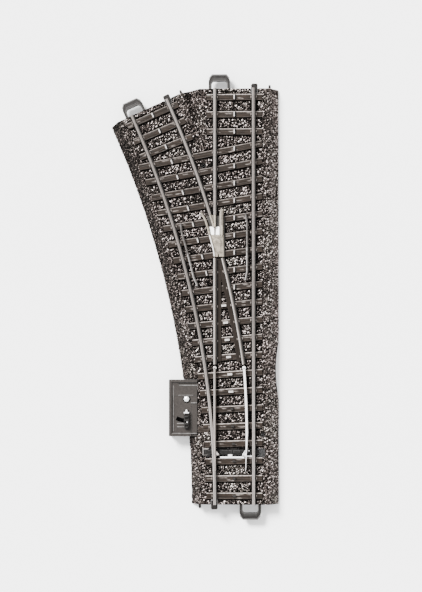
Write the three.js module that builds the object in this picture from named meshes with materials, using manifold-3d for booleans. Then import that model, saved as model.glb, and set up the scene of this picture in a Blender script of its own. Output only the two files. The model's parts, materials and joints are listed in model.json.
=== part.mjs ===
// A left-hand model railway turnout, 1:87 scale: a moulded roadbed with two tracks that share one toe,
// two pivoted switch blades, a cast frog and a hand lever in a box beside the track.
//
// Millimetres, +Z up. The origin is the middle of the toe end, on the table. +Y runs along the straight
// track, and the other track curves off to the left, towards -X.

import * as THREE from 'three';
import { mergeVertices } from 'three/addons/utils/BufferGeometryUtils.js';
import Module from 'manifold-3d';

const wasm = await Module();
wasm.setup();

// Track geometry.
const LENGTH = 188.3;
const CURVE_RADIUS = 437.5;
const CURVE_ANGLE = THREE.MathUtils.degToRad(24.28);
const CURVE_LENGTH = CURVE_RADIUS * CURVE_ANGLE;
const GAUGE = 16.5;
const HEAD_WIDTH = 1.0;
const RAIL_OFFSET = (GAUGE + HEAD_WIDTH) / 2;
const CURVE_STEPS = 14;

// Heights.
const BED_TOP = 7.6;
const SLEEPER_TOP = 8.0;
const RAIL_BASE = 8.02;
const RAIL_TOP = 10.3;
const DECK_UNDERSIDE = 6.0;

// Roadbed.
const BASE_HALF_WIDTH = 20;
const SHOULDER_HALF_WIDTH = 15.8;
const LIP_HEIGHT = 0.6;
const WALL = 1.6;
const RIB_THICKNESS = 1.2;
const RIB_PLACES = [70.6, 117.7, 149.1];
const SLEEPER_COUNT = 24;
const SHARED_SLEEPERS = 21;
const SLEEPER_PITCH = LENGTH / SLEEPER_COUNT;
const SLEEPER_WIDTH = 2.8;
const SLEEPER_HALF_LENGTH = 13.5;
const FIXING_HOLES = [[12.9, 31.4], [-14.0, 153.1]];
const SCALLOP_Y = 60.5;
const SCALLOP_DEPTH = 1.5;
const SCALLOP_RADIUS = 61.5;
const APRON = { x0: -16.6, x1: -11.3, y0: 32.6, y1: 34.7, top: 7.95 };

// Frog and guard rails.
const HEEL_END = 63.2;
const CLOSURE_END = 111.2;
const FROG_START = 111.7;
const FROG_PLATE = 9.25;
const FROG_FLOOR = 8.6;
const RAMP_START = 121;
const RAMP_END = 125.5;
const NOSE_TIP = 122.6;
const V_END = 130.4;
const EXIT_START = 130.8;
const FLANGEWAY = 1.7;
const WING_END = 133.4;

// Switch blades.
const BLADE_BASE = 8.62;
const BLADE_TIP = 15.3;
const HEEL_Y = 61.6;
const HEEL_RADIUS = 0.8;
const PIVOT_RADIUS = 0.6;
const PIVOT_BOTTOM = 5.0;
const BLADE_CLEARANCE = 0.08;
const BAR_Y = 23.5;
const THROW = 2.4;
const BLADE_SWING = Math.asin(THROW / (HEEL_Y - BAR_Y));
const LUG_LENGTH = 2.5;
const LUG_TOP = 9.25;
const BAR_PIN_RADIUS = 0.55;

// Throw bar and drive link.
const BAR_WIDTH = 2.4;
const BAR_RIM = 0.9;
const BAR_LEFT = -14.0;
const BAR_RIGHT = 11.2;
const PEG_RADIUS = 0.8;
const PEG_X = -13.0;
const TIE_Y = 21.3;
const LINK_BOTTOM = 4.6;
const LINK_TOP = 5.4;

// Hand lever box.
const BOX_OUTLINE = [[-29.7, 30.7], [-16.9, 30.7], [-16.9, 56.3], [-29.7, 56.3]];
const RECESS = { left: -19.6, top: 45.7, floor: 6.6 };
const BOX_WALL = 0.8;
const BOX_TOP = 6.4;
const PANEL_TOP = 7.0;
const PANEL_STEP_Y = 49.1;
const PANEL_STEP = 0.2;
const RIM_TOP = 7.6;
const RIM_WIDTH = 1.2;
const LEVER_X = -21.7;
const LEVER_Y = 47.5;
const LEVER_REACH = 9.8;
const CRANK_REACH = 6.3;
const LEVER_SWING = Math.asin(THROW / CRANK_REACH);
const NECK_RADIUS = 0.7;
const RIVET_RADIUS = 0.7;
const HUB_RADIUS = 1.45;

// Connectors, measured in each end's own frame: to the right and outwards, looking out of the end.
const LOOP_CENTRE = -7.0;
const LOOP_WIDTH = 9.8;
const LOOP_REACH = 7.1;
const JOINER_CENTRE = 9.1;
const PIN_CENTRE = 15.9;
const GAP = 0.3;

const ROUND = 16;

// ---------------------------------------------------------------- materials

const material = (color, roughness, metalness) =>
  new THREE.MeshStandardMaterial({ color, roughness, metalness });
const plastic = (color, roughness) => material(color, roughness, 0);
const metal = (color, roughness) => material(color, roughness, 1);

const ballastPlastic = plastic(0x5c5752, 0.85);
const boxPlastic = plastic(0x66605b, 0.6);
const darkPlastic = plastic(0x2e2a27, 0.55);
const guardPlastic = plastic(0x5a4a40, 0.6);
const railSteel = metal(0x9d958c, 0.35);
const frogMetal = metal(0xc4bcae, 0.4);
const contactSteel = metal(0x8e8a84, 0.4);

// ---------------------------------------------------------------- tracks

const straightTrack = {
  pointAt: (along, offset = 0) => new THREE.Vector2(offset, along),
  headingAt: () => 0,
  alongAtY: (y) => y,
};

const curvedTrack = {
  pointAt: (along, offset = 0) => {
    const angle = along / CURVE_RADIUS;
    const radius = CURVE_RADIUS + offset;
    return new THREE.Vector2(radius * Math.cos(angle) - CURVE_RADIUS, radius * Math.sin(angle));
  },
  headingAt: (along) => along / CURVE_RADIUS,
  alongAtY: (y, offset = 0) => CURVE_RADIUS * Math.asin(y / (CURVE_RADIUS + offset)),
};

/** The centreline of a stretch of track, as a path to sweep a section along. */
class TrackLine extends THREE.Curve {
  constructor(track, from, to) {
    super();
    this.track = track;
    this.from = from;
    this.to = to;
  }

  getPoint(t, target = new THREE.Vector3()) {
    const place = this.track.pointAt(THREE.MathUtils.lerp(this.from, this.to, t));
    return target.set(place.x, place.y, 0);
  }
}

// ---------------------------------------------------------------- solids

/** Turns a closed geometry into a solid that can be joined and cut. */
function solid(geometry) {
  geometry.deleteAttribute('normal');
  geometry.deleteAttribute('uv');
  const merged = mergeVertices(geometry);
  return new wasm.Manifold(new wasm.Mesh({
    numProp: 3,
    vertProperties: new Float32Array(merged.attributes.position.array),
    triVerts: new Uint32Array(merged.index.array),
  }));
}

/** Adds a list of solids into one. */
const join = (...parts) => parts.reduce((whole, part) => whole.add(part));

/** A box between two corners. */
function box(x0, x1, y0, y1, z0, z1) {
  const geometry = new THREE.BoxGeometry(x1 - x0, y1 - y0, z1 - z0);
  geometry.translate((x0 + x1) / 2, (y0 + y1) / 2, (z0 + z1) / 2);
  return solid(geometry);
}

/** A bar along a heading: width across it, length along it. */
function block(x, y, heading, width, length, z0, z1) {
  const geometry = new THREE.BoxGeometry(width, length, z1 - z0);
  geometry.rotateZ(heading);
  geometry.translate(x, y, (z0 + z1) / 2);
  return solid(geometry);
}

/** An upright round post. */
function post(x, y, radius, z0, z1) {
  const geometry = new THREE.CylinderGeometry(radius, radius, z1 - z0, ROUND);
  geometry.rotateX(Math.PI / 2);
  geometry.translate(x, y, (z0 + z1) / 2);
  return solid(geometry);
}

/** A flat plate of any plan outline, given as [x, y] pairs or vectors. */
function plate(outline, z0, z1, holes = []) {
  const toVector = (point) => (point.isVector2 ? point : new THREE.Vector2(...point));
  const shape = new THREE.Shape(outline.map(toVector));
  shape.holes = holes.map((hole) => new THREE.Path(hole.map(toVector)));
  const geometry = new THREE.ExtrudeGeometry(shape, { depth: z1 - z0, bevelEnabled: false });
  geometry.translate(0, 0, z0);
  return solid(geometry);
}

/** A prism across the track: a closed outline of [y, z] pairs, from x0 to x1. */
function prismAcross(outline, x0, x1) {
  const shape = new THREE.Shape(outline.map(([y, z]) => new THREE.Vector2(y, z)));
  const geometry = new THREE.ExtrudeGeometry(shape, { depth: x1 - x0, bevelEnabled: false });
  geometry.rotateY(Math.PI / 2);
  geometry.rotateX(Math.PI / 2);
  geometry.translate(x0, 0, 0);
  return solid(geometry);
}

/** The plan outline of a band of even width that follows a chain of points. */
function bandOutline(points, width) {
  const left = [];
  const right = [];
  points.forEach((point, i) => {
    const before = points[Math.max(i - 1, 0)];
    const after = points[Math.min(i + 1, points.length - 1)];
    const along = after.clone().sub(before).setLength(width / 2);
    const across = new THREE.Vector2(-along.y, along.x);
    left.push(point.clone().add(across));
    right.unshift(point.clone().sub(across));
  });
  return [...right, ...left];
}

/** Points at even steps along a track, at one offset from its centreline. */
function trackPoints(track, offset, from, to, steps) {
  const alongAt = (i) => THREE.MathUtils.lerp(from, to, i / steps);
  return Array.from({ length: steps + 1 }, (_, i) => track.pointAt(alongAt(i), offset));
}

/** Sweeps a section of [right, up] pairs along a stretch of track. */
function sweep(track, section, from, to, steps) {
  const shape = new THREE.Shape(section.map(([right, up]) => new THREE.Vector2(-up, -right)));
  const path = new TrackLine(track, from, to);
  return solid(new THREE.ExtrudeGeometry(shape, { steps, bevelEnabled: false, extrudePath: path }));
}

/** Grows or shrinks an outline of upright and level edges, anticlockwise, by a margin. */
function offsetOutline(outline, margin) {
  return outline.map(([x, y], i) => {
    const [px, py] = outline[(i + outline.length - 1) % outline.length];
    const [nx, ny] = outline[(i + 1) % outline.length];
    const outX = Math.sign(y - py) + Math.sign(ny - y);
    const outY = -Math.sign(x - px) - Math.sign(nx - x);
    return [x + outX * margin, y + outY * margin];
  });
}

// ---------------------------------------------------------------- ends and sleepers

const ends = {
  toe: { position: straightTrack.pointAt(0), heading: Math.PI },
  straight: { position: straightTrack.pointAt(LENGTH), heading: 0 },
  diverging: { position: curvedTrack.pointAt(CURVE_LENGTH), heading: CURVE_ANGLE },
};

/** Moves a solid from an end's own frame to its place on the turnout. */
function placeAtEnd(part, { position, heading }) {
  return part.rotate([0, 0, THREE.MathUtils.radToDeg(heading)]).translate([position.x, position.y, 0]);
}

/** Middle line between the two tracks, which slants at half the curve's heading. */
function sharedPlace(y) {
  const heading = Math.asin(y / CURVE_RADIUS);
  const curveX = CURVE_RADIUS * (Math.cos(heading) - 1);
  return { slant: heading / 2, curveX, middle: curveX / 2 };
}

function sharedSleeper(index) {
  const y = (index + 0.5) * SLEEPER_PITCH;
  const { slant, curveX } = sharedPlace(y);
  const left = curveX - SLEEPER_HALF_LENGTH;
  const middle = (left + SLEEPER_HALF_LENGTH) / 2;
  const length = (SLEEPER_HALF_LENGTH - left) / Math.cos(slant);
  const middleY = y + middle * Math.tan(slant);
  return block(middle, middleY, slant, length, SLEEPER_WIDTH, DECK_UNDERSIDE + 1, SLEEPER_TOP);
}

function trackSleeper(track, along) {
  const { x, y } = track.pointAt(along);
  const length = 2 * SLEEPER_HALF_LENGTH;
  return block(x, y, track.headingAt(along), length, SLEEPER_WIDTH, DECK_UNDERSIDE + 1, SLEEPER_TOP);
}

function sleepers() {
  const parts = [];
  for (let i = 0; i < SHARED_SLEEPERS; i += 1) parts.push(sharedSleeper(i));
  for (let i = 0; i < SLEEPER_COUNT - SHARED_SLEEPERS; i += 1) {
    const fromEnd = (i + 0.5) * SLEEPER_PITCH;
    parts.push(trackSleeper(straightTrack, LENGTH - fromEnd));
    parts.push(trackSleeper(curvedTrack, CURVE_LENGTH - fromEnd));
  }
  return join(...parts);
}

// ---------------------------------------------------------------- centre contacts

const STRIP_WIDTH = 3.0;
const STRIP_BOTTOM = 5.3;
const STRIP_TOP = 5.75;
const STUD_TOP = 9.1;
const STUD_WIDTH = 0.5;
const STUD_LENGTH = 2.0;
const WIDE_STUDS_FROM = 6;
const SHARED_STUDS = 12;

/** Where a centre contact's studs stand: place, heading and size, one for each sleeper it serves. */
function studPlaces(which) {
  const indices = Array.from({ length: SLEEPER_COUNT }, (_, i) => i);
  if (which === 'shared') {
    return indices.slice(0, SHARED_STUDS).map((i) => {
      const y = (i + 0.5) * SLEEPER_PITCH;
      const { middle, slant } = sharedPlace(y);
      const width = i >= WIDE_STUDS_FROM ? 2.1 : 1.2;
      return { x: middle, y: y + middle * Math.tan(slant), heading: slant, width, length: 0.9 };
    });
  }
  const track = which === 'straight' ? straightTrack : curvedTrack;
  const first = which === 'straight' ? SHARED_STUDS : SHARED_STUDS + 1;
  const trackLength = which === 'straight' ? LENGTH : CURVE_LENGTH;
  return indices.slice(first).map((i) => {
    const y = (i + 0.5) * SLEEPER_PITCH;
    const onShared = which === 'diverging' && i < SHARED_SLEEPERS;
    const along = onShared ? sharedCrossing(y) : trackLength - (SLEEPER_COUNT - i - 0.5) * SLEEPER_PITCH;
    const { x, y: studY } = track.pointAt(along);
    return { x, y: studY, heading: track.headingAt(along), width: STUD_WIDTH, length: STUD_LENGTH };
  });
}

/** How far along the curved track a shared sleeper crosses its centreline. */
function sharedCrossing(y) {
  const { slant, curveX } = sharedPlace(y);
  return curvedTrack.alongAtY(y + curveX * Math.tan(slant));
}

/** A spring steel strip under the deck, with its studs standing up through the sleepers. */
function contactStrip(which, margin = 0) {
  const places = studPlaces(which);
  const points = places.map(({ x, y }) => new THREE.Vector2(x, y));
  const band = bandOutline(points, STRIP_WIDTH + 2 * margin);
  const studs = places.map(({ x, y, heading, width, length }) => (
    block(x, y, heading, width + margin, length + margin, STRIP_BOTTOM, STUD_TOP + margin)));
  return join(plate(band, STRIP_BOTTOM - margin, STRIP_TOP + margin), ...studs);
}

// ---------------------------------------------------------------- roadbed

const bedSection = [
  [-BASE_HALF_WIDTH, 0], [BASE_HALF_WIDTH, 0], [BASE_HALF_WIDTH, LIP_HEIGHT],
  [SHOULDER_HALF_WIDTH, BED_TOP], [-SHOULDER_HALF_WIDTH, BED_TOP], [-BASE_HALF_WIDTH, LIP_HEIGHT],
];

const cavitySection = [
  [-BASE_HALF_WIDTH + WALL, -1], [BASE_HALF_WIDTH - WALL, -1], [BASE_HALF_WIDTH - WALL, LIP_HEIGHT],
  [SHOULDER_HALF_WIDTH - 1.2, DECK_UNDERSIDE], [-SHOULDER_HALF_WIDTH + 1.2, DECK_UNDERSIDE],
  [-BASE_HALF_WIDTH + WALL, LIP_HEIGHT],
];

/** Both tracks' beds, swept with one section and joined. */
function bothTracks(section, inset) {
  return join(
    sweep(straightTrack, section, inset, LENGTH - inset, 1),
    sweep(curvedTrack, section, inset, CURVE_LENGTH - inset, CURVE_STEPS),
  );
}

/** What each end adds to the bed: a locating pin, and a seat over the connector loop. */
function endAdditions() {
  const pin = new THREE.CylinderGeometry(0.45, 0.7, 2.6, ROUND);
  pin.translate(PIN_CENTRE, 0.7, 3.5);
  const loopLeft = LOOP_CENTRE - LOOP_WIDTH / 2 - GAP;
  const loopRight = LOOP_CENTRE + LOOP_WIDTH / 2 + GAP;
  return join(solid(pin), box(loopLeft, loopRight, -5.8, -WALL + 0.1, 5.1, DECK_UNDERSIDE + 0.2));
}

/** What each end cuts from the bed: the loop's slot, the joiner's pocket and the mate's pin hole. */
function endCuts() {
  const loopLeft = LOOP_CENTRE - LOOP_WIDTH / 2 - GAP;
  const loopRight = LOOP_CENTRE + LOOP_WIDTH / 2 + GAP;
  const hole = new THREE.CylinderGeometry(0.95, 0.95, 4, ROUND);
  hole.translate(-PIN_CENTRE, 0, 3.5);
  return join(
    solid(hole),
    box(loopLeft, loopRight, -WALL - 1, 1, 2.7, 5.1),
    box(JOINER_CENTRE - 1.85, JOINER_CENTRE + 1.85, -2.4, 1, 6.6, SLEEPER_TOP + 1),
  );
}

function throwBarSlot() {
  return box(BAR_LEFT - 0.6, 13.9, BAR_Y - 2.1, BAR_Y + 1.9, DECK_UNDERSIDE - 1, SLEEPER_TOP + 1);
}

/** Shallow scallop in the right-hand edge, and the thicker wall behind it. */
function scallop() {
  const half = Math.sqrt(SCALLOP_RADIUS ** 2 - (SCALLOP_RADIUS - SCALLOP_DEPTH) ** 2);
  const reach = Math.asin(half / SCALLOP_RADIUS);
  const centreX = BASE_HALF_WIDTH - SCALLOP_DEPTH + SCALLOP_RADIUS;
  const steps = 10;
  const arc = Array.from({ length: steps + 1 }, (_, i) => {
    const angle = Math.PI + THREE.MathUtils.lerp(reach, -reach, i / steps);
    return [centreX + SCALLOP_RADIUS * Math.cos(angle), SCALLOP_Y + SCALLOP_RADIUS * Math.sin(angle)];
  });
  const outside = [[BASE_HALF_WIDTH + 3, SCALLOP_Y - half], [BASE_HALF_WIDTH + 3, SCALLOP_Y + half]];
  const [low, high] = [SCALLOP_Y - half - 1, SCALLOP_Y + half + 1];
  return {
    backing: box(SHOULDER_HALF_WIDTH, BASE_HALF_WIDTH, low, high, 0, BED_TOP),
    cut: plate([...outside, ...arc.reverse()], -1, BED_TOP),
  };
}

function fixingHole([x, y]) {
  return join(post(x, y, 0.9, 0, SLEEPER_TOP + 1), post(x, y, 1.4, BED_TOP - 1, SLEEPER_TOP + 1));
}

function pivotHole({ x, y }) {
  return post(x, y, PIVOT_RADIUS + 0.15, 0, SLEEPER_TOP + 1);
}

const heels = {
  left: straightTrack.pointAt(HEEL_Y, -RAIL_OFFSET),
  right: curvedTrack.pointAt(curvedTrack.alongAtY(HEEL_Y, RAIL_OFFSET), RAIL_OFFSET),
};

function roadbed() {
  const outer = bothTracks(bedSection, 0);
  const halfRib = RIB_THICKNESS / 2;
  const ribs = RIB_PLACES.map((y) => box(-60, 20, y - halfRib, y + halfRib, 2.5, BED_TOP));
  const bayWall = plate(offsetOutline(BOX_OUTLINE, GAP + 1), 0, BED_TOP);
  const linkPassage = box(-18, -14.5, 51, 55.2, LINK_BOTTOM - GAP, LINK_TOP + GAP);
  const screwBosses = GUIDE_SCREWS.map((x) => post(x, GUIDE_SCREW_Y, 1.5, 5.95, BED_TOP));
  const { backing, cut } = scallop();
  const shell = outer.subtract(bothTracks(cavitySection, WALL));
  const apron = box(APRON.x0, APRON.x1, APRON.y0, APRON.y1, DECK_UNDERSIDE + 0.2, APRON.top);
  const inside = join(...ribs, bayWall, backing, ...screwBosses).intersect(outer);
  const ribbed = join(shell, inside, sleepers(), apron);
  const ended = Object.values(ends).reduce(
    (bed, end) => bed.add(placeAtEnd(endAdditions(), end)).subtract(placeAtEnd(endCuts(), end)), ribbed);
  const openings = join(
    plate(offsetOutline(BOX_OUTLINE, GAP), -1, RAIL_TOP),
    cut,
    linkPassage,
    throwBarSlot(),
    ...FIXING_HOLES.map(fixingHole),
    ...Object.values(heels).map(pivotHole),
    ...GUIDE_SCREWS.map((x) => post(x, GUIDE_SCREW_Y, 0.65, 5, 7)),
    ...['shared', 'straight', 'diverging'].map((which) => contactStrip(which, 0.25)),
  );
  return ended.subtract(openings);
}

// ---------------------------------------------------------------- rails

/** The rail's section about its own centreline: foot, web and head. */
const railSection = [
  [-0.9, RAIL_BASE], [0.9, RAIL_BASE], [0.9, 8.35], [0.3, 8.6], [0.3, 9.3], [HEAD_WIDTH / 2, 9.5],
  [HEAD_WIDTH / 2, 10.2], [0.38, RAIL_TOP], [-0.38, RAIL_TOP], [-HEAD_WIDTH / 2, 10.2],
  [-HEAD_WIDTH / 2, 9.5], [-0.3, 9.3], [-0.3, 8.6], [-0.9, 8.35],
];

function rail(track, offset, from, to, steps = 1) {
  return sweep(track, railSection.map(([right, up]) => [right + offset, up]), from, to, steps);
}

/** A rail of the curved track between two heights on the plan. */
function curvedRail(offset, fromY, to, steps) {
  return rail(curvedTrack, offset, curvedTrack.alongAtY(fromY, offset), to, steps);
}

/** Left wing rail: leaves the straight closure rail's line, follows the V and flares away at its end. */
function wingRail() {
  const offset = RAIL_OFFSET - HEAD_WIDTH / 2 - FLANGEWAY - HEAD_WIDTH / 2;
  const from = curvedTrack.alongAtY(115, offset);
  const to = curvedTrack.alongAtY(128, offset);
  const flare = curvedTrack.pointAt(curvedTrack.alongAtY(132.2, offset), offset - 0.9);
  const points = [
    new THREE.Vector2(-RAIL_OFFSET, FROG_START), new THREE.Vector2(-RAIL_OFFSET - 0.1, 113.2),
    ...trackPoints(curvedTrack, offset, from, to, 4), flare,
  ];
  return plate(bandOutline(points, HEAD_WIDTH), SLEEPER_TOP + 0.05, RAIL_TOP);
}

/** Cast frog: a floor that ramps up to a plate, with the V nose and the right wing bar standing on it. */
function frog() {
  const rightEdge = (y) => curvedTrack.pointAt(curvedTrack.alongAtY(y, RAIL_OFFSET), RAIL_OFFSET);
  const legLeft = (y) => {
    const at = curvedTrack.pointAt(curvedTrack.alongAtY(y, RAIL_OFFSET), RAIL_OFFSET - HEAD_WIDTH / 2);
    return [at.x, at.y];
  };
  const gaugeLine = -RAIL_OFFSET + HEAD_WIDTH / 2;
  const wingInner = gaugeLine + FLANGEWAY;
  const wingOuter = wingInner + 1.8;
  const plan = plate([
    [-RAIL_OFFSET + 0.75, FROG_START], [rightEdge(FROG_START).x + 0.9, FROG_START],
    [wingOuter, 118], [wingOuter, V_END], [-12.7, V_END], [-10.8, 124], [-8.0, 114.5],
  ], RAIL_BASE, RAIL_TOP);
  const ramp = prismAcross([
    [FROG_START - 1, RAIL_BASE], [V_END + 1, RAIL_BASE], [V_END + 1, FROG_FLOOR], [RAMP_END, FROG_FLOOR],
    [RAMP_START, FROG_PLATE], [FROG_START - 1, FROG_PLATE],
  ], -14, -3);
  const notch = box(-7.5, -6.8, FROG_START - 1, 113.2, FROG_FLOOR, RAIL_TOP);
  const floor = plan.intersect(ramp).subtract(notch);
  const nose = plate([
    [-8.62, NOSE_TIP], [gaugeLine, 126], [gaugeLine, V_END], [-10.1, V_END], legLeft(V_END), legLeft(126.5),
  ], RAIL_BASE, RAIL_TOP);
  const wing = plate([
    [rightEdge(FROG_START).x - 0.55, FROG_START], [rightEdge(FROG_START).x + 0.55, FROG_START],
    [wingOuter, 118], [wingOuter, WING_END - 2], [wingOuter + 0.7, WING_END], [wingInner + 1.1, WING_END],
    [wingInner, WING_END - 2], [wingInner, 118],
  ], RAIL_BASE, RAIL_TOP);
  return join(floor, nose, wing);
}

/** Guard rail beside a stock rail, with both ends flared away from it. */
function guardRail(track, offset, fromY, toY, flare) {
  const from = track.alongAtY(fromY, offset);
  const to = track.alongAtY(toY, offset);
  const points = [
    track.pointAt(from, offset + flare), ...trackPoints(track, offset, from + 4, to - 4, 4),
    track.pointAt(to, offset + flare),
  ];
  return plate(bandOutline(points, 1.2), SLEEPER_TOP + 0.02, RAIL_TOP - 0.2);
}

/** Smooth strip that keeps wheel flanges clear, on the gauge side of a closure rail. */
function flangewayStrip(track, side) {
  const near = side * (RAIL_OFFSET - 1.0);
  const far = side * (RAIL_OFFSET - 2.6);
  const from = track.alongAtY(HEEL_END + 1.2, near);
  const to = track.alongAtY(side < 0 ? 105.6 : 95.5, far);
  const nearEdge = trackPoints(track, near, from, to, 4);
  const outline = [...nearEdge, ...trackPoints(track, far, from, to, 4).reverse()];
  return plate(side < 0 ? outline.reverse() : outline, SLEEPER_TOP + 0.05, SLEEPER_TOP + 0.5);
}

// ---------------------------------------------------------------- switch blades

/** Heel boss with the pivot that turns in the deck, and the slotted lug for the throw bar's pin. */
function bladeFittings(heel, barX, inward) {
  const lugTip = barX + inward * LUG_LENGTH;
  const lugPlan = [
    [barX, BAR_Y - 1.3], [lugTip, BAR_Y - 1.3], [lugTip, BAR_Y + 0.7], [lugTip - inward * 0.6, BAR_Y + 1.3],
    [barX, BAR_Y + 1.7],
  ];
  const lug = plate(inward > 0 ? lugPlan : lugPlan.reverse(), BLADE_BASE, LUG_TOP);
  const pinX = barX + inward * (LUG_LENGTH - 1.1);
  const slot = box(
    pinX - BAR_PIN_RADIUS - 0.12, pinX + BAR_PIN_RADIUS + 0.12,
    BAR_Y - BAR_PIN_RADIUS - 0.35, BAR_Y + BAR_PIN_RADIUS + 0.3, BLADE_BASE - 1, LUG_TOP + 1);
  return {
    additions: join(lug, post(heel.x, heel.y, HEEL_RADIUS, SLEEPER_TOP + 0.1, RAIL_TOP),
      post(heel.x, heel.y, PIVOT_RADIUS, PIVOT_BOTTOM, SLEEPER_TOP + 0.2)),
    slot,
  };
}

/** Straight blade, closed: its back is planed to lie against the curved stock rail. */
function bladeLeft() {
  const gaugeX = -GAUGE / 2;
  const stockFace = (y) => curvedTrack.pointAt(curvedTrack.alongAtY(y, -GAUGE / 2), -GAUGE / 2).x;
  const back = [BLADE_TIP, BAR_Y, 32].map((y) => (
    [Math.max(gaugeX - HEAD_WIDTH, stockFace(y) + BLADE_CLEARANCE), y]));
  const outline = [
    [gaugeX, BLADE_TIP], [gaugeX, HEEL_Y], [gaugeX - HEAD_WIDTH, HEEL_Y], ...back.reverse(),
  ];
  const { additions, slot } = bladeFittings(heels.left, gaugeX - 0.3, 1);
  return join(plate(outline, BLADE_BASE, RAIL_TOP), additions).subtract(slot);
}

/** Curved blade, drawn closed against the straight stock rail and then turned open. */
function bladeRight() {
  const stockX = GAUGE / 2 - BLADE_CLEARANCE;
  const steps = 6;
  const along = (y, offset) => curvedTrack.alongAtY(y, offset);
  const gaugeFace = trackPoints(
    curvedTrack, GAUGE / 2, along(BLADE_TIP, GAUGE / 2), along(HEEL_Y, GAUGE / 2), steps);
  const offset = GAUGE / 2 + HEAD_WIDTH;
  const back = trackPoints(curvedTrack, offset, along(BLADE_TIP, offset), along(HEEL_Y, offset), steps)
    .map((point) => new THREE.Vector2(Math.min(point.x, stockX), point.y));
  const { additions, slot } = bladeFittings(heels.right, gaugeFace[1].x + 0.3, -1);
  const bar = plate([...back, ...gaugeFace.reverse()], BLADE_BASE, RAIL_TOP);
  return join(bar, additions).subtract(slot).translate([-heels.right.x, -heels.right.y, 0]);
}

/** Where the throw bar's pins stand at rest, in the middle of each blade's slot. */
function barPins() {
  const leftPin = -GAUGE / 2 - 0.3 + LUG_LENGTH - 1.1;
  const [tip, heel] = [BLADE_TIP, HEEL_Y].map((y) => curvedTrack.alongAtY(y, GAUGE / 2));
  const gaugeAtBar = curvedTrack.pointAt(tip + (heel - tip) / 6, GAUGE / 2).x;
  return [leftPin, gaugeAtBar + 0.3 - LUG_LENGTH + 1.1 - THROW];
}

/** Retaining washer on a blade's pivot, under the deck. */
function bladeClip() {
  return post(0, 0, 1.5, 5.2, 5.8).subtract(post(0, 0, PIVOT_RADIUS + 0.05, 5, 6));
}

// ---------------------------------------------------------------- throw bar

const GUIDE_SCREWS = [-6.5, 8.5];
const GUIDE_SCREW_Y = 27.6;

function throwBar() {
  const pins = barPins().map((x) => post(x, BAR_Y, BAR_PIN_RADIUS, BED_TOP - 1, LUG_TOP + 0.25));
  const arms = [-5.6, 3.6].map((x) => (
    box(x - 0.5, x + 0.5, TIE_Y + 0.2, BAR_Y - BAR_RIM, BED_TOP - 0.4, BLADE_BASE - 0.05)));
  return join(
    box(BAR_LEFT, BAR_RIGHT, BAR_Y - BAR_WIDTH / 2, BAR_Y + BAR_WIDTH / 2, 6.2, BED_TOP),
    post(0.6, BAR_Y, 0.8, BED_TOP - 1, SLEEPER_TOP + 0.1),
    box(-6.4, 4.5, TIE_Y - 0.4, TIE_Y + 0.4, SLEEPER_TOP + 0.1, BLADE_BASE - 0.05),
    ...arms,
    post(PEG_X, BAR_Y, PEG_RADIUS, LINK_BOTTOM, 6.5),
    ...pins,
  );
}

/** Plate under the deck that carries the throw bar, with an ear for each screw. */
function throwBarGuide() {
  const tray = box(-8.2, 10.5, 20.2, 29.4, 5.35, 5.9);
  const passage = box(-3.2, 2.4, 18, 31, 5, 6);
  const spine = box(-3.3, 2.5, 20.2, 22.0, 4.4, 5.0);
  const sides = [box(-3.4, -3.2, 20.2, 22.0, 4.4, 5.9), box(2.4, 2.6, 20.2, 22.0, 4.4, 5.9)];
  const holes = GUIDE_SCREWS.map((x) => post(x, GUIDE_SCREW_Y, 0.7, 5, 6));
  return join(tray.subtract(passage), spine, ...sides).subtract(join(...holes));
}

function guideScrew() {
  return join(post(0, 0, 1.2, 4.7, 5.3), post(0, 0, 0.6, 5.2, 6.8));
}

/** Flat steel link from the lever's crank to the throw bar. */
function driveLink() {
  const outline = [
    [-24.1, 51.6], [-14.9, 51.6], [-14.9, BAR_Y - 1.4], [-11.9, BAR_Y - 1.4], [-11.9, 54.4], [-19.4, 54.4],
    [-19.4, 55.1], [-24.1, 55.1],
  ];
  const crankY = LEVER_Y + CRANK_REACH;
  const crankSlot = box(LEVER_X - 0.85, LEVER_X + 0.85, crankY - 1.4, crankY + 0.85, 4, 6);
  const pegHole = post(PEG_X, BAR_Y, PEG_RADIUS + 0.05, 4, 6);
  return plate(outline, LINK_BOTTOM, LINK_TOP).subtract(join(crankSlot, pegHole));
}

// ---------------------------------------------------------------- hand lever box

function leverHousing() {
  const hollow = plate(offsetOutline(BOX_OUTLINE, -BOX_WALL), 1, 8);
  const shell = plate(BOX_OUTLINE, 0, BOX_TOP - 0.02).subtract(hollow);
  const rivetHole = post(LEVER_X, LEVER_Y, RIVET_RADIUS + 0.05, 1.8, 5);
  const boss = post(LEVER_X, LEVER_Y, 1.6, 0.5, 4.2).subtract(rivetHole);
  const linkWindow = box(-18.5, -16, 51, 55.2, LINK_BOTTOM - GAP, LINK_TOP + GAP);
  const springPost = post(-18.3, 46.9, 0.5, 0.5, 6.0);
  return join(shell, boss, springPost).subtract(linkWindow);
}

/** The part of a ring between two angles, as a plan outline. */
function arcBand(centreX, centreY, inner, outer, fromAngle, toAngle) {
  const steps = 6;
  const ring = (radius) => Array.from({ length: steps + 1 }, (_, i) => {
    const angle = THREE.MathUtils.lerp(fromAngle, toAngle, i / steps);
    return new THREE.Vector2(centreX + radius * Math.cos(angle), centreY + radius * Math.sin(angle));
  });
  return [...ring(outer), ...ring(inner).reverse()];
}

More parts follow.
